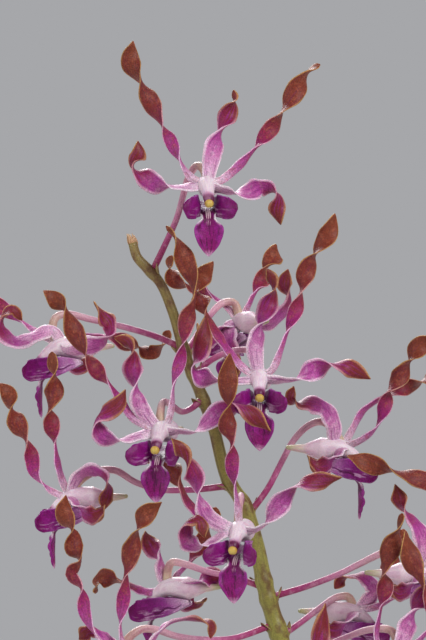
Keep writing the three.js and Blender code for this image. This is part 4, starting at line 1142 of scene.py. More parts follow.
@dataclass
class BarkBed:
    """The bed of fir bark that fills the pot, with its top layer of chips."""

    radius: float = 51.0
    chips: int = 150
    size: tuple[float, float, float] = (19.0, 12.0, 5.0)

    def build(self, dresser: Dresser) -> None:
        """Builds the bed and its chips as one piece."""
        piece = Piece("fir_bark_bed", "bark_bed", "bark", (BARK,))
        self._bed(piece)
        chance = Random(11)
        forms = [self._chip(seed) for seed in range(4)]
        for i in range(self.chips):
            points, faces = forms[i % len(forms)]
            angle = i * GOLDEN_ANGLE
            reach = (self.radius - 9) * math.sqrt((i + 0.5) / self.chips)
            size = 0.55 + 0.5 * chance.random()
            lean, roll = (0.9 * (chance.random() - 0.5) for _ in range(2))
            tilt = Matrix.Rotation(lean, 3, "X") @ Matrix.Rotation(roll, 3, "Y")
            turn = np.array(Matrix.Rotation(math.pi * chance.random(), 3, "Z") @ tilt)
            centre = (reach * math.cos(angle), reach * math.sin(angle), BARK_TOP - 1 + 3.4 * chance.random())
            tint = chance.random()
            spread = points[:, 0] / self.size[0]
            surface = np.stack([2 * spread, np.full(len(points), tint), np.full(len(points), tint)], axis=1)
            placed = (points * size) @ turn.T + centre
            piece.add_mesh(placed, surface, [[k + piece.count for k in face] for face in faces])
        piece.finish(dresser)

    def _bed(self, piece: Piece) -> None:
        """Adds the bed itself, with a rough top."""
        heights = (
            (7.5, 40.2), (96.0, 50.6), (98.0, 50.9), (100.0, 45.0), (100.0, 30.0), (100.0, 15.0),
            (100.0, 1.0),
        )
        angle = np.linspace(0, 2 * math.pi, 72, endpoint=False)
        chance = Random(5)
        rings = []
        for z, radius in heights:
            rough = np.array([0.8 * chance.random() if z > 99 else 0 for _ in angle])
            ring = np.stack([radius * np.cos(angle), radius * np.sin(angle), z - rough], axis=1)
            rings.append(ring)
        rings = np.array(rings)
        surface = np.zeros_like(rings)
        surface[..., 1:] = 0.2
        piece.add_shell(Shell(rings, surface))

    def _chip(self, seed: int) -> tuple[np.ndarray, list[list[int]]]:
        """Models one broken chip of bark.

        Args:
            seed: its own random seed.

        Returns:
            Its points about its centre, and its faces.
        """
        bpy.ops.object.select_all(action="DESELECT")
        bpy.ops.mesh.primitive_cube_add(size=1)
        bpy.ops.object.mode_set(mode="EDIT")
        bpy.ops.mesh.select_all(action="SELECT")
        bpy.ops.transform.resize(value=self.size)
        bpy.ops.mesh.bevel(offset=1.1, segments=1)
        bpy.ops.mesh.subdivide(number_cuts=2, fractal=1.2, fractal_along_normal=0.6, seed=seed)
        bpy.ops.object.mode_set(mode="OBJECT")
        return take_apart(bpy.context.active_object)


@dataclass
class ClayPot:
    """The turned clay pot with its thick rim and drain holes."""

    height: float = 116.0
    top_radius: float = 62.0
    neck_radius: float = 57.0
    foot_radius: float = 44.0
    rim: float = 20.0
    wall: float = 5.5
    floor: float = 7.0
    holes: int = 3
    hole_radius: float = 6.0
    hole_orbit: float = 24.0
    sides: int = 96

    def build(self, dresser: Dresser) -> None:
        """Builds the pot from a disc that is raised ring by ring, and cuts the drain holes."""
        bpy.ops.object.select_all(action="DESELECT")
        stations = self._stations()
        radius, height = stations[0]
        bpy.ops.mesh.primitive_circle_add(
            vertices=self.sides, radius=radius * MM, fill_type="NGON", location=(0, 0, height * MM)
        )
        made = bpy.context.active_object
        made.name = "clay_pot"
        bpy.ops.object.mode_set(mode="EDIT")
        bpy.ops.mesh.select_all(action="SELECT")
        for next_radius, next_height in stations[1:]:
            rise = (0, 0, (next_height - height) * MM)
            bpy.ops.mesh.extrude_region_move(TRANSFORM_OT_translate={"value": rise})
            grow = next_radius / radius
            bpy.ops.transform.resize(value=(grow, grow, 1), center_override=(0, 0, next_height * MM))
            radius, height = next_radius, next_height
        bpy.ops.object.mode_set(mode="OBJECT")
        for i in range(self.holes):
            self._drill(made, 2 * math.pi * i / self.holes)
        points = np.array([vertex.co[:] for vertex in made.data.vertices])
        angle = np.arctan2(points[:, 1], points[:, 0])
        rise = points[:, 2] / (self.height * MM)
        surface = np.stack([np.cos(angle), rise, np.full(len(points), 0.5)], axis=1)
        mark(made.data, surface)
        dresser.fit(made, "pot", (TERRACOTTA,))
        select_only(made)
        bpy.ops.object.shade_smooth_by_angle(angle=math.radians(40))

    def _inside(self, height: float) -> float:
        """Gives the inner radius at a height."""
        share = min(height / (self.height - self.rim), 1)
        return self.foot_radius + (self.neck_radius - self.foot_radius) * share - self.wall

    def _stations(self) -> list[tuple[float, float]]:
        """Lists the rings of the pot as (radius, height), from the foot up, over the rim and down inside."""
        neck = self.height - self.rim
        flare = self.neck_radius - self.foot_radius
        wall = [(self.foot_radius + flare * k / 8 + 0.12 * (-1) ** k, neck * k / 8) for k in range(1, 8)]
        lip = 1.6
        rim = [
            (self.neck_radius, neck), (self.top_radius - 0.6, neck + 0.2), (self.top_radius, neck + 1),
            (self.top_radius, self.height - lip - 2.6), (self.top_radius - 0.35, self.height - lip - 2),
            (self.top_radius, self.height - lip - 1.4),
        ]
        turn = [
            (self.top_radius - lip * (1 - math.cos(a)), self.height - lip * (1 - math.sin(a)))
            for a in (0.4, 0.8, 1.2, 1.57)
        ]
        inner = self._inside(self.height)
        mouth = [
            (inner + 0.8, self.height), (inner + 0.2, self.height - 0.3), (inner, self.height - 1),
            (inner, neck),
        ]
        foot = [(self.foot_radius - 0.8, 0), (self.foot_radius - 0.2, 0.3), (self.foot_radius, 1.0)]
        return foot + wall + rim + turn + mouth + [(self._inside(self.floor), self.floor)]

    def _drill(self, pot: bpy.types.Object, angle: float) -> None:
        """Cuts one drain hole through the floor.

        Args:
            pot: the pot's object.
            angle: where the hole is, round the pot.
        """
        place = (self.hole_orbit * MM * math.cos(angle), self.hole_orbit * MM * math.sin(angle), 0)
        bpy.ops.object.select_all(action="DESELECT")
        bpy.ops.mesh.primitive_cylinder_add(
            vertices=24, radius=self.hole_radius * MM, depth=3 * self.floor * MM, location=place
        )
        cutter = bpy.context.active_object
        select_only(pot)
        cut = pot.modifiers.new("drain", "BOOLEAN")
        cut.operation = "DIFFERENCE"
        cut.solver = "EXACT"
        cut.object = cutter
        bpy.ops.object.modifier_apply(modifier=cut.name)
        bpy.data.objects.remove(cutter)


# The blooms: hub is the point where the tepals meet, yaw turns the column and lip about Z (0 faces the
# viewer), whole turns every route with them, and mentum is how far the chin leans to the side.
BLOOMS = [
    Bloom(
        hub=[-32.6, -14, 589.6], yaw=6, mentum=4,
        dorsal=[[0.3, 0.5, -1, 0], [1.2, 1.5, 6, 0], [2.6, 3, 13, 0.15], [4.4, 4, 18.5, 0.5], [7.5, 5, 24, 1],
            [10, 5.5, 28.5, 1.5], [9.3, 5.5, 32.6, 1.9]],
        petals=[
            [[-1, 0.5, 0, 0], [-5, 1, 1.5, 0.1], [-8.8, 1.5, 6.5, 0.4], [-12, 2.5, 13.5, 1],
                [-15.2, 4, 20.3, 1.5], [-19.3, 5, 28, 2], [-23.3, 6, 35.3, 2.5], [-26.6, 6, 42.5, 3],
                [-25.7, 6, 49.7, 3.4]],
            [[1, 0.5, 0, 0], [5, 1, 1, 0], [11.5, 2, 6.5, 0.2], [16.7, 3, 12.3, 0.5], [21.5, 4, 18, 1],
                [26.5, 5, 24.5, 1.5], [30.8, 5.5, 32, 2], [35, 6, 39, 2.5], [39.5, 6, 41.5, 2.8]],
        ],
        laterals=[
            [[-1, 0, -1, 0.15], [-7, -1, -1.6, 0.35], [-12, -1.5, -1.8, 0.45], [-17, -2, -1, 0.8],
                [-21.5, -2.5, 2, 1.1], [-25, -1.5, 5.5, 1.5], [-23.8, 1, 10, 2], [-24, 2, 14.7, 2.3]],
            [[1, 0, -1, 0.15], [5, -0.5, -2.2, 0.3], [8.5, -1, -2.9, 0.4], [14, -1.5, -3, 0.8],
                [19.5, -2, -1.6, 1.1], [23.6, -1.5, -4, 1.5], [24.4, 0, -9, 2], [25.7, 1, -14.5, 2.3]],
        ],
        stalk=[[-18.5, 14, -29.4], [-14, 12.5, -20], [-10.5, 12, -12], [-8.5, 11.5, -5], [-6.5, 10, 2],
            [-3.5, 7, 6.2], [-1, 3.5, 4.5], [0, 1.5, 0.5]],
    ),
    Bloom(
        hub=[-14.4, -20, 522.4], yaw=0, mentum=2,
        dorsal=[[0, 0.5, -1, 0], [-1, 1.5, 5, 0], [-1.5, 2.5, 10, 0.1], [-0.6, 3.5, 14.5, 0.25],
            [0, 4, 18, 0.5], [3.2, 5, 24.5, 1], [5.5, 5.5, 30, 1.5], [4.5, 5, 34, 1.8], [2.5, 4, 37.5, 2.2]],
        petals=[
            [[-1, 0.5, 0, 0.1], [-5, 2, 2.5, 0.15], [-10.5, 4, 8.5, 0.3], [-15.5, 6, 16, 0.3],
                [-19, 7.5, 22.5, 0.5], [-20.2, 8, 26, 1], [-21, 8.5, 29.5, 1.5], [-19.8, 8.5, 34.5, 2],
                [-16, 8, 40, 2.4]],
            [[1, 0.5, 0, 0.1], [4.5, 1, 2.5, 0.15], [7.3, 2, 9, 0.3], [9.7, 3, 15.9, 0.5], [12.5, 4, 22.5, 1],
                [14.9, 4.5, 29.2, 1.5], [16.2, 5, 36, 2], [19.1, 5, 42.8, 2.5], [24, 5, 49.5, 3],
                [26.3, 5, 56.6, 3.4]],
        ],
        laterals=[
            [[-1, 0, -1, 0.15], [-7, -0.5, -1.6, 0.35], [-14, -1, -1.6, 0.5], [-19, -1.5, -0.6, 0.9],
                [-22.5, -1.5, 2.4, 1.4], [-20.6, -0.5, 6.5, 1.7], [-19.5, 0, 12.5, 2], [-18.7, 1, 21, 2.3]],
            [[1, 0, -1, 0.15], [7, -1, -1, 0.35], [12, -1.5, -0.6, 0.45], [19, -2, 2.4, 1],
                [25.5, -2, 3.6, 1.5], [32, -1.5, 2.6, 2], [38.5, -1, -0.8, 2.3]],
        ],
        stalk=[[-23.5, 20, 0], [-16, 18, 6], [-8, 14, 9], [-2, 9, 8.5], [0, 4.5, 5], [0, 1.5, 0.5]],
    ),
    Bloom(
        hub=[-48.6, -27, 504.6], yaw=-13, mentum=3,
        dorsal=[[0, 0.5, -1, 0], [-3.5, 1, 2.5, 0], [-7, 2, 7.5, 0.1], [-9, 3, 14.5, 0.5],
            [-9.6, 3.5, 20.5, 1], [-9, 4, 26.5, 1.5], [-11.5, 4, 30, 1.8], [-16, 3.5, 31.3, 2.1]],
        petals=[
            [[-1, 0.5, -0.5, 0.1], [-5.5, 1, 1.2, 0.15], [-10, 1.5, 4, 0.2], [-14, 2.5, 9.8, 0.25],
                [-18, 3, 15.3, 0.5], [-22, 3.5, 20, 1], [-25.4, 4, 25.4, 1.5], [-29.6, 4.5, 33, 2],
                [-32.9, 5, 40.5, 2.5], [-36.5, 5, 44.5, 3], [-40.5, 5, 47.6, 3.4]],
            [[1, 0.5, 0, 0.1], [3, 1, 3.5, 0.2], [4, 2, 9, 0.3], [4.3, 3, 15, 0.5], [6.4, 4, 22, 1],
                [8.1, 5, 29, 1.5], [9, 6, 37, 2], [11.2, 7, 44, 2.5], [11.3, 7.5, 50, 2.6], [8.3, 8, 58.5, 3],
                [5.4, 8, 66, 3.5], [1.9, 8, 70, 3.8]],
        ],
        laterals=[
            [[-1, 0, -1, 0.15], [-8, -0.5, -2.8, 0.3], [-14.5, -1.5, -4.6, 0.5], [-20, -3, -2.6, 1],
                [-21.5, -4, 2.3, 1.5], [-18, -4.5, 5.5, 1.8], [-14.5, -4.5, 8.5, 2], [-12, -4, 13.5, 2.3]],
            [[1, 0, -1, 0.15], [6, -1, -0.8, 0.35], [11, -2.5, -0.8, 0.45], [16.5, -4, 2.6, 0.8],
                [21, -5, 6, 1], [27, -6.8, 7.5, 1.5], [32.5, -8, 4, 2], [38, -8, -0.8, 2.4]],
        ],
        stalk=[[14.6, 27, 10], [10.5, 22.5, 6.5], [7, 17.5, 5.5], [3.5, 12.5, 8], [1, 8, 9], [0, 4, 5.5],
            [0, 1.5, 0.5]],
    ),
    Bloom(
        hub=[-21.7, -37, 470.6], yaw=-15, mentum=0,
        dorsal=[[0, 0.5, -1, 0], [-5.5, 0, 0.8, 0.1], [-11, -0.5, 4.6, 0.15], [-14.5, -1.5, 12, 0.5],
            [-15.2, -3.4, 17.8, 1], [-17.2, -6, 23.3, 1.5], [-20, -8.4, 27.6, 2], [-23, -9.4, 31, 2.4]],
        petals=[
            [[-1, 1, 0, 0.1], [-6, 5, 0.8, 0.2], [-12.5, 9, 3, 0.3], [-18, 13, 9.4, 0.35],
                [-20.3, 16, 14.7, 0.5], [-22.5, 18.5, 19, 1], [-26, 21, 23, 1.5], [-31, 22, 25, 2],
                [-35.5, 22, 27, 2.4]],
            [[0.5, 0.5, 0, 0.1], [0, 0, 4, 0.2], [-0.6, -1, 9, 0.3], [-1.5, -1.5, 14.5, 0.5],
                [-2.2, -2, 21.5, 1], [-2, -2.5, 29, 1.5], [-3.8, -3, 35.3, 2], [-3.5, -3, 41.5, 2.5],
                [-3.6, -3, 51, 3], [-3, -2.5, 60, 3.4]],
        ],
        laterals=[
            [[-1, 0, -1, 0.15], [-4.4, -0.5, -1.6, 0.3], [-8.6, -1, -4.4, 0.35], [-14, -2, -6.8, 0.6],
                [-18, -3.5, -3.4, 1.1], [-17, -5, 2, 1.5], [-13.4, -6.5, 2.6, 1.8], [-11.6, -7.5, -3, 2.2]],
            [[1, 0, -1, 0.15], [5.5, -0.5, -0.5, 0.35], [9, -1, 1.8, 0.5], [14, -1.5, 8, 1],
                [20, -1, 13.8, 1.5], [28, 0, 16.2, 2], [35.5, 1, 17.4, 2.4]],
        ],
        stalk=[[0.4, 37, 7], [1, 28, 8], [1, 19, 10.5], [0.6, 10, 10], [0, 4.5, 5.5], [0, 1.5, 0.5]],
    ),
    Bloom(
        hub=[-84.7, 2, 533.3], yaw=-90, mentum=0,
        dorsal=[[1, 0, 1, 0.1], [-2, -2, 5, 0.1], [-8, -4, 2.8, 0.3], [-14.5, -5, 0.8, 0.3],
            [-19.4, -5.5, 4.2, 0.3], [-19.8, -5.5, 9.5, 0.5], [-15.8, -5, 12.4, 0.8],
            [-12.5, -4.5, 8.5, 1.2]],
        petals=[
            [[-1, 2, 1, 0.1], [-7, 5, 4, 0.2], [-13, 8, 8, 0.5], [-20, 10, 13, 1], [-27, 11, 18, 1.5],
                [-33, 11, 24, 2], [-38, 10, 31, 2.5], [-41, 9, 39, 2.9]],
            [[1, 2, 1, 0.1], [8, 6, 3, 0.3], [16, 10, 3, 0.5], [23, 12, 1, 1], [28, 13, -1.5, 1.5],
                [32, 13, -3, 2], [36, 13, 0, 2.5], [39, 12, 5, 2.9]],
        ],
        laterals=[
            [[0, -1, -1, 0.2], [4, -4, -2, 0.3], [10, -6, -0.5, 0.1], [15.5, -7, 1.5, 0.3],
            [18.2, -7, 6, 0.9],
                [16, -6.5, 10.5, 1.3], [12.6, -6, 15.3, 1.6]],
            mirrored(SIDE_LATERALS)[1],
        ],
        stalk=[[43, -2, -0.7], [34, 3, 3], [22, 6, 6.5], [11, 6, 9], [3, 4, 10.8], [-1, 2, 9.5], [-2, 1, 5],
            [0, 0.5, 0.5]],
    ),
    Bloom(
        hub=[-79.8, -12, 481.1], yaw=-90, mentum=0,
        dorsal=[[0.5, 0, -0.5, 0.1], [0.8, -1, 3, 0.15], [3.4, -2, 7.4, 0.3], [8.4, -3, 8.9, 0.3],
            [12.6, -4, 6.4, 0.4], [13.4, -5, 2.4, 0.6], [12, -5.5, -1.6, 0.9], [11.4, -5.5, -5, 1.1]],
        petals=[
            [[-1, 0, -1, 0.1], [-5, -1, 0.5, 0.2], [-9, -2, 3, 0.4], [-12.6, -3, 7.4, 0.8],
                [-13.4, -3.5, 12.5, 1], [-15, -4, 18.9, 1.5], [-18.5, -4, 24.9, 2], [-21, -4, 30, 2.5],
                [-21.5, -3.5, 35, 3], [-25, -3, 39, 3.4]],
            [[-0.5, 0, 0, 0.1], [-2.5, -1, 3.6, 0.2], [-4.4, -2, 10, 0.3], [-5.8, -3, 17.9, 0.5],
                [-6.6, -3.5, 24, 1], [-7, -4, 29.9, 1.5], [-5.8, -4.5, 36, 2], [-6, -5, 41.4, 2.5],
                [-6.5, -5, 49.9, 2.9]],
        ],
        laterals=mirrored(SIDE_LATERALS),
        stalk=[[54.4, 12, 2.8], [42, 9, 1.6], [30, 7, 1.8], [22, 5.5, 4.5], [15, 3.5, 8.6], [8, 1.5, 8],
            [3, 0.5, 5], [0, 0, 0.5]],
    ),
    Bloom(
        hub=[14.7, -4, 497.9], yaw=90, mentum=0,
        dorsal=[[-0.5, 0, -0.5, 0.1], [-2.6, -1, 2.5, 0.1], [-3.1, -2, 7.3, 0.15], [-6, -3, 12.6, 0.25],
            [-11, -3.5, 14.7, 0.2], [-15.6, -4, 14.4, 0.4], [-18.2, -4, 16.6, 0.9], [-17, -3.5, 21, 1.3]],
        petals=[
            [[0.5, -1, 0, 0.1], [6, -2, 2, 0.2], [11, -3, 6, 0.4], [14, -4, 12, 0.8], [16.5, -4.5, 19.6, 1.5],
                [20, -5, 24.5, 2], [23, -5, 30, 2.5], [27, -5, 35, 3], [33, -5, 38, 3.4]],
            [[0.5, 1, 0.5, 0.1], [3.6, 2, 6, 0.2], [7, 3, 12, 0.3], [11.5, 4, 15.5, 0.4], [16, 5, 18, 0.5],
                [22, 6, 20.5, 1], [28, 6.5, 22, 1.5], [34, 6.5, 25, 2], [39, 6, 30, 2.5], [43, 5.5, 36, 2.9]],
        ],
        laterals=SIDE_LATERALS,
        stalk=[[-31.5, 4, -22.4], [-26, 6, -15], [-21, 7, -5.5], [-17, 6, 1.8], [-12, 4, 7], [-7.5, 2, 8.6],
            [-3.5, 1, 6.5], [0, 0.5, 0.5]],
    ),
    Bloom(
        hub=[-21, 20, 542], yaw=-150, mentum=0,
        dorsal=[[0, 0, 0, 0], [3, -2, 1, 0.1], [8, -4, -1.5, 0.2], [13.5, -5, 1.5, 0.3], [17, -5, 7, 0.4],
            [15.8, -4.5, 12.5, 0.8], [17, -4, 18, 1.2]],
        petals=[
            [[-1, 0, 0, 0.1], [-4, 2, 4, 0.3], [-10, 6, 8.5, 0.5], [-14.5, 9, 11.5, 1], [-18.5, 11, 13, 1.5],
                [-23, 13, 14.5, 2], [-25.5, 13, 18, 2.5], [-24, 12, 23, 2.8]],
            [[1, 1, 0, 0.1], [3, 3, 5, 0.3], [5.5, 6, 10, 0.5], [8, 9, 14, 1], [10, 12, 18, 1.5],
                [12, 15, 22, 2], [13, 18, 27, 2.5]],
        ],
        laterals=[
            [[-1, -1, -1, 0.2], [-5, -4, -2.6, 0.4], [-9, -7, -6, 0.8], [-13, -8, -6, 1.2],
            [-15, -8, -1, 1.6]],
            [[-0.5, -1, -1, 0.1], [-3.4, -4, -2.5, 0.15], [-4.2, -7, -7, 0.2], [-3, -8.5, -12, 0.2],
                [-0.5, -9, -19.5, 0.3]],
        ],
        stalk=[[-18.5, -20, -10.5], [-15.5, -12, -6], [-11, -5, 1], [-6, 0, 6], [-2, 1, 6], [0, 0, 0.5]],
    ),
    Bloom(
        hub=[-46.5, 14, 448.5], yaw=-100, mentum=0,
        dorsal=[[-0.5, 1, 0, 0.1], [-2, 2, 4, 0.2], [-3, 4, 9, 0.5], [-6, 6, 14, 1], [-8, 8, 19, 1.5]],
        petals=[
            [[-1, 0, 0, 0.1], [-5, 0, -2.5, 0.2], [-9, 0, -2, 0.3], [-14, 0, 0, 0.4], [-18, 0, 1.5, 0.6],
                [-21.6, 0, 2.5, 1], [-25, 0, 1.6, 1.3], [-25.5, 0, -3, 1.7]],
            [[1, 2, 0, 0.1], [4, 6, 4, 0.3], [8, 10, 8, 0.5], [12, 13, 14, 1], [15, 15, 20, 1.5],
                [17, 16, 27, 2]],
        ],
        laterals=[
            [[0, -1, -2, 0.1], [5, -2, -1, 0.2], [10, -3, 1.5, 0.4], [14, -3, 3, 0.8], [19, -3, 2, 1.3],
                [23, -3, -2, 1.8]],
            [[0, 1, -1, 0.2], [1.5, 5.4, -1.6, 0.4], [5, 8, -5, 0.7], [9.5, 8, -7.5, 1.2],
            [14, 6.5, -5, 1.7]],
        ],
        stalk=[[31.8, -14, 0.7], [24, -9, 3], [14, -4, 5], [6, -1, 7.5], [1.5, 0, 8], [0, 0.5, 4.5],
            [0, 0, 0.5]],
    ),
    Bloom(
        hub=[-63.7, -34, 425.8], yaw=0, mentum=0,
        dorsal=[[0, 0.5, 0, 0.1], [-2, 1.5, 4, 0.2], [-5.5, 3, 8, 0.4], [-9.5, 5, 9, 0.9], [-13, 6, 6, 1.3]],
        petals=[
            [[-0.5, 0, 0, 0.1], [-4, 0, 4.6, 0.3], [-8, 0, 9.4, 0.6], [-11, 0.5, 16.4, 1],
            [-11.6, 1, 24, 1.5],
                [-15.6, 1.5, 29, 2], [-12.8, 1.5, 33.4, 2.5], [-14.6, 1.5, 38, 3], [-14.6, 1.5, 44, 3.5],
                [-18, 1.5, 49.8, 4], [-17.4, 1.5, 56, 4.4]],
            [[1, 0, 0, 0.1], [2.4, -0.5, 3.6, 0.2], [1.6, -1, 7.5, 0.35], [1.2, -2, 11.9, 0.5],
                [2.4, -3, 19.5, 1], [3.5, -4, 28.7, 1.5], [5.2, -5.5, 37, 2], [6.9, -7, 44.5, 2.5],
                [10.6, -8, 50, 3], [15.7, -8.5, 53.9, 3.4]],
        ],
        laterals=[
            [[-1, 0, -1, 0.15], [-6, -1, -2.2, 0.3], [-12, -2, -4, 0.5], [-17, -2, -3, 1], [-20, -1, 0, 1.5],
                [-20, 0, 5, 1.9]],
            [[1, 0, -1, 0.15], [6, -1, 0.5, 0.3], [11, -2, 4.6, 0.4], [14.6, -3, 10, 0.5],
                [19.6, -3.5, 13.4, 0.5], [27, -4, 14, 0.4], [32.6, -4, 12, 0.6], [32.4, -4, 7, 1.1]],
        ],
        stalk=[[53.9, 34, 9.4], [39.2, 24, 5.2], [21.7, 12, 6.6], [13, 7, 9.5], [8, 4, 9.5], [3.5, 2, 6],
            [0, 0.5, 0.5]],
    ),
    Bloom(
        hub=[42, -10, 454.5], yaw=90, mentum=0,
        dorsal=[[0, 0, 0, 0.1], [0.4, -1, 5, 0.1], [0.6, -2, 10.5, 0.15], [-2.4, -3, 16.5, 0.3],
            [-6.6, -3.5, 21.3, 0.5], [-8, -3.5, 26.3, 1], [-9.2, -3.5, 30.5, 1.4]],
        petals=[
            [[0.5, -1, 0, 0.1], [4, -2, 6, 0.2], [8, -3, 13, 0.5], [10.4, -4, 20, 1], [8.6, -5, 27, 1.5],
                [3, -6, 31, 2], [-3.2, -6.5, 32.9, 2.2], [-9.8, -7, 34.6, 2.5], [-18, -7.5, 37.6, 3],
                [-26.2, -8, 40.6, 3.4]],
            [[0.5, 1, 0.5, 0.1], [6, 2, 4, 0.3], [11, 3, 10, 0.5], [14, 4, 17, 1], [19, 5, 22, 1.5],
                [25, 5.5, 26, 2], [29, 5.5, 32, 2.5], [34, 5, 37, 2.9]],
        ],
        laterals=SIDE_LATERALS,
        stalk=[[-52.6, 10, -9.6], [-39, 8, -5.4], [-28, 6, -1], [-22, 5, 2], [-15.2, 3, 5.5], [-9, 1, 8],
            [-4, 0.5, 6], [0, 0.5, 0.5]],
    ),
    Bloom(
        hub=[19.3, 14, 439.8], yaw=90, mentum=0,
        dorsal=[[1, 0, 0, 0.1], [4.5, -1, 3, 0.1], [6.6, -1.5, 7, 0.2], [3.5, -2, 11, 0.3],
            [-3.5, -2.5, 11, 0.6], [-7, -2.5, 7.6, 1.1]],
        petals=[
            [[1, -1, 0, 0.1], [7, -1.5, 1, 0.2], [13, -2, 4, 0.5], [18, -2.5, 9, 1], [22, -3, 15, 1.5],
                [27, -3, 20, 2], [31, -3, 26, 2.5]],
            [[1, 1, 0.5, 0.1], [6, 4, 4, 0.3], [10, 7, 9, 0.5], [13, 10, 15, 1], [16, 12, 21, 1.5],
                [18, 13, 28, 2]],
        ],
        laterals=SIDE_LATERALS,
        stalk=[[-25.9, -14, -8.4], [-19, -9, -4], [-12, -4, 1], [-6, -1, 4.5], [-2, 0, 4.5], [0, 0, 0.5]],
    ),
    Bloom(
        hub=[32.8, -34, 426.5], yaw=0, mentum=0,
        dorsal=[[0, 0.5, -1, 0], [1.5, 1, 4, 0], [3.5, 2, 10, 0.1], [5.5, 3, 15.5, 0.5], [8.8, 4, 20, 1],
            [11.2, 4.5, 25, 1.5], [11, 4.5, 30, 1.9]],
        petals=[
            [[-1, 0.5, 0, 0.1], [-4.5, 1, 1.5, 0.2], [-7, 1.5, 6, 0.3], [-6.5, 2, 12, 0.4],
                [-5.5, 2.5, 17.5, 0.5], [-4, 3, 23, 1], [-4.2, 3, 28.5, 1.5], [-2, 3, 37, 2],
                [0.5, 3, 44, 2.5], [2, 3, 49, 2.8]],
            [[1, 0.5, 0, 0.1], [6, 0, 4, 0.2], [11, -0.5, 10, 0.5], [12, -1, 17.6, 1], [9, -1.5, 24.6, 1.5],
                [4.8, -2, 33.6, 2], [2.4, -2, 43, 2.5]],
        ],
        laterals=[
            [[-1, 0, -1, 0.15], [-8, -1, -2.5, 0.35], [-15, -1.5, -4, 0.45], [-21, -2, -4.5, 0.9],
                [-25.6, -2, -1, 1.4], [-26.3, -1, 7, 2], [-24.7, 0, 18.2, 2.4]],
            [[1, 0, -1, 0.15], [7, -1, -2, 0.35], [13, -1.5, -1, 0.5], [19, -2, 2, 1], [25, -1.5, 4, 1.5],
                [31, -1, 2, 2], [36, -1, -2, 2.3]],
        ],
        stalk=[[-38.7, 34, -5.2], [-28, 26, 0], [-18, 18, 5], [-9, 11, 8.5], [-2, 6, 8.5], [0, 3, 5],
            [0, 1.5, 0.5]],
    ),
    Bloom(
        **OPEN_BLOOM, hub=[-39, -22, 384], yaw=-40, whole=True, mentum=0,
        stalk=[[15.5, 42, 16], [12, 32, 12], [9, 22, 11], [4, 12, 11], [0, 5, 7], [0, 1.5, 0.5]],
    ),
    Bloom(
        **OPEN_BLOOM, hub=[18, 34, 386], yaw=165, whole=True, mentum=0,
        stalk=[[6, 35, 12], [3, 26, 13], [0, 17, 13], [0, 9, 11], [0, 4, 6], [0, 1.5, 0.5]],
    ),
]

# The canes: route as [x, y, z, radius], azimuth of the two ranks of leaves, and the shares of the length
# that have a leaf
CANES = [
    Cane(route=[[16, 2, 102, 4.6], [20, 3, 150, 8], [24, 4, 205, 8.6], [28, 5, 255, 6.4], [31, 6, 292, 3.4]],
        azimuth=105, leaves=[0.4, 0.52, 0.63, 0.74, 0.84, 0.94]),
    Cane(route=[[1, -7, 102, 4.6], [-7, -13, 145, 7.6], [-18, -19, 190, 7.6], [-30, -25, 232, 3.4]],
        azimuth=316, leaves=[0.42, 0.58, 0.72, 0.84, 0.94]),
    Cane(route=[[-11, 6, 102, 4.6], [-17, 14, 148, 7.8], [-27, 22, 196, 7.4], [-37, 29, 236, 3.4]],
        azimuth=135, leaves=[0.44, 0.6, 0.75, 0.92]),
    Cane(route=[[30, -4, 102, 4.4], [40, -10, 138, 7], [52, -16, 174, 6.8], [63, -21, 206, 3.2]],
        azimuth=26, leaves=[0.4, 0.56, 0.72, 0.9]),
    Cane(route=[[-25, -1, 102, 4.4], [-31, -3, 132, 6.4], [-37, -4, 164, 5.6], [-41, -5, 188, 2.6]],
        azimuth=0, leaves=[]),
]
# The rhizome lies on the bark, as [x, y, z, radius]. Each root leaves it at an x, to the back or the front.
RHIZOME = [
    [-32, 0, 101.5, 3.6], [-14, 1.5, 101.5, 5.4], [4, -1, 101.5, 5.6], [22, 0, 101.5, 5.6],
        [36, -4, 101.5, 3.6],
]
ROOTS = [[-20, 1], [-6, -1], [6, 1], [24, -1], [30, 1], [-28, -1]]


class Side(Enum):
    """Where a studio light stands: its place in metres, its size and its power."""

    KEY = ((0.9, -1.3, 1.6), 0.7, 23.0)
    FILL = ((-1.5, -0.7, 0.9), 1.2, 8.0)
    BACK = ((-0.3, 1.3, 1.5), 0.9, 26.0)


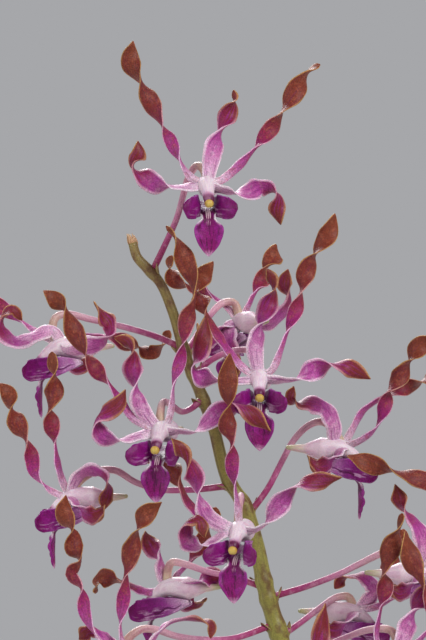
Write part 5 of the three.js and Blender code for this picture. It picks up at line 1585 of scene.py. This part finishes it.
@dataclass
class Studio:
    """The plain floor, the soft lights and the camera at the photograph's viewing angle.

    Attributes:
        middle: what the camera looks at, in metres.
        window: the longer side of what it sees there, in metres.
        lens: focal length in millimetres.
        sensor: the longer side of the sensor in millimetres.
    """

    middle: tuple[float, float, float] = (-0.03045, 0.0, 0.542)
    window: float = 0.224
    lens: float = 300.0
    sensor: float = 36.0

    def build(self) -> None:
        """Builds the floor, lights, world and camera."""
        self._floor()
        for side in Side:
            self._light(side)
        world = bpy.data.worlds.new("studio")
        world.use_nodes = True
        surround = world.node_tree.nodes["Background"].inputs
        surround["Color"].default_value = linear("d9dade")
        surround["Strength"].default_value = 0.55
        bpy.context.scene.world = world
        bpy.context.scene.view_settings.view_transform = "Standard"
        self._camera()

    def _floor(self) -> None:
        """Lays the plain pale floor."""
        bpy.ops.object.select_all(action="DESELECT")
        bpy.ops.mesh.primitive_plane_add(size=5, location=(0, 0, 0))
        floor = bpy.context.active_object
        floor.name = "floor"
        pale = bpy.data.materials.new("pale_floor")
        pale.use_nodes = True
        shader = pale.node_tree.nodes["Principled BSDF"].inputs
        shader["Base Color"].default_value = linear("d6d5d2")
        shader["Roughness"].default_value = 0.8
        floor.data.materials.append(pale)

    def _light(self, side: Side) -> None:
        """Hangs one soft square light that faces the spray."""
        place, size, power = side.value
        lamp = bpy.data.lights.new(side.name.lower(), "AREA")
        lamp.size = size
        lamp.energy = power
        held = bpy.data.objects.new(side.name.lower(), lamp)
        held.location = place
        held.rotation_euler = (Vector(self.middle) - Vector(place)).to_track_quat("-Z", "Y").to_euler()
        bpy.context.scene.collection.objects.link(held)

    def _camera(self) -> None:
        """Sets the level camera that frames the upper part of the spray."""
        camera = bpy.data.cameras.new("camera")
        camera.lens = self.lens
        camera.sensor_width = self.sensor
        camera.clip_end = 20
        held = bpy.data.objects.new("camera", camera)
        away = self.window * self.lens / self.sensor
        held.location = (self.middle[0], self.middle[1] - away, self.middle[2])
        held.rotation_euler = (math.pi / 2, 0, 0)
        bpy.context.scene.collection.objects.link(held)
        bpy.context.scene.camera = held


def main() -> None:
    """Builds every sub-assembly round the frame and reports each piece."""
    logging.basicConfig(level=logging.INFO, format="%(name)s: %(message)s")
    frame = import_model()
    LOG.info("the frame has %d nodes", len(frame["nodes"]))
    dresser = Dresser()
    Studio().build()
    ClayPot().build(dresser)
    BarkBed().build(dresser)
    Rhizome(RHIZOME, ROOTS).build(dresser)
    for number, cane in enumerate(CANES, 1):
        cane.build(number, dresser)
    joints = [bloom_joint(bloom) for bloom in BLOOMS]
    FlowerStem(STEM_ROUTE, joints).build(dresser)
    for number, bloom in enumerate(BLOOMS, 1):
        bloom.build(number, dresser)


def bloom_joint(bloom: Bloom) -> tuple[np.ndarray, np.ndarray]:
    """Finds where a bloom's stalk leaves the stem.

    Args:
        bloom: the bloom.

    Returns:
        The joint's place and the stalk's direction there.
    """
    spine = Spine.through(bloom.stalk, 20)
    place, ahead = spine.place[0], spine.along[0]
    if bloom.whole:
        place, ahead = turned(place, bloom.yaw), turned(ahead, bloom.yaw)
    return place + np.array(bloom.hub), ahead


if __name__ == "__main__":
    main()
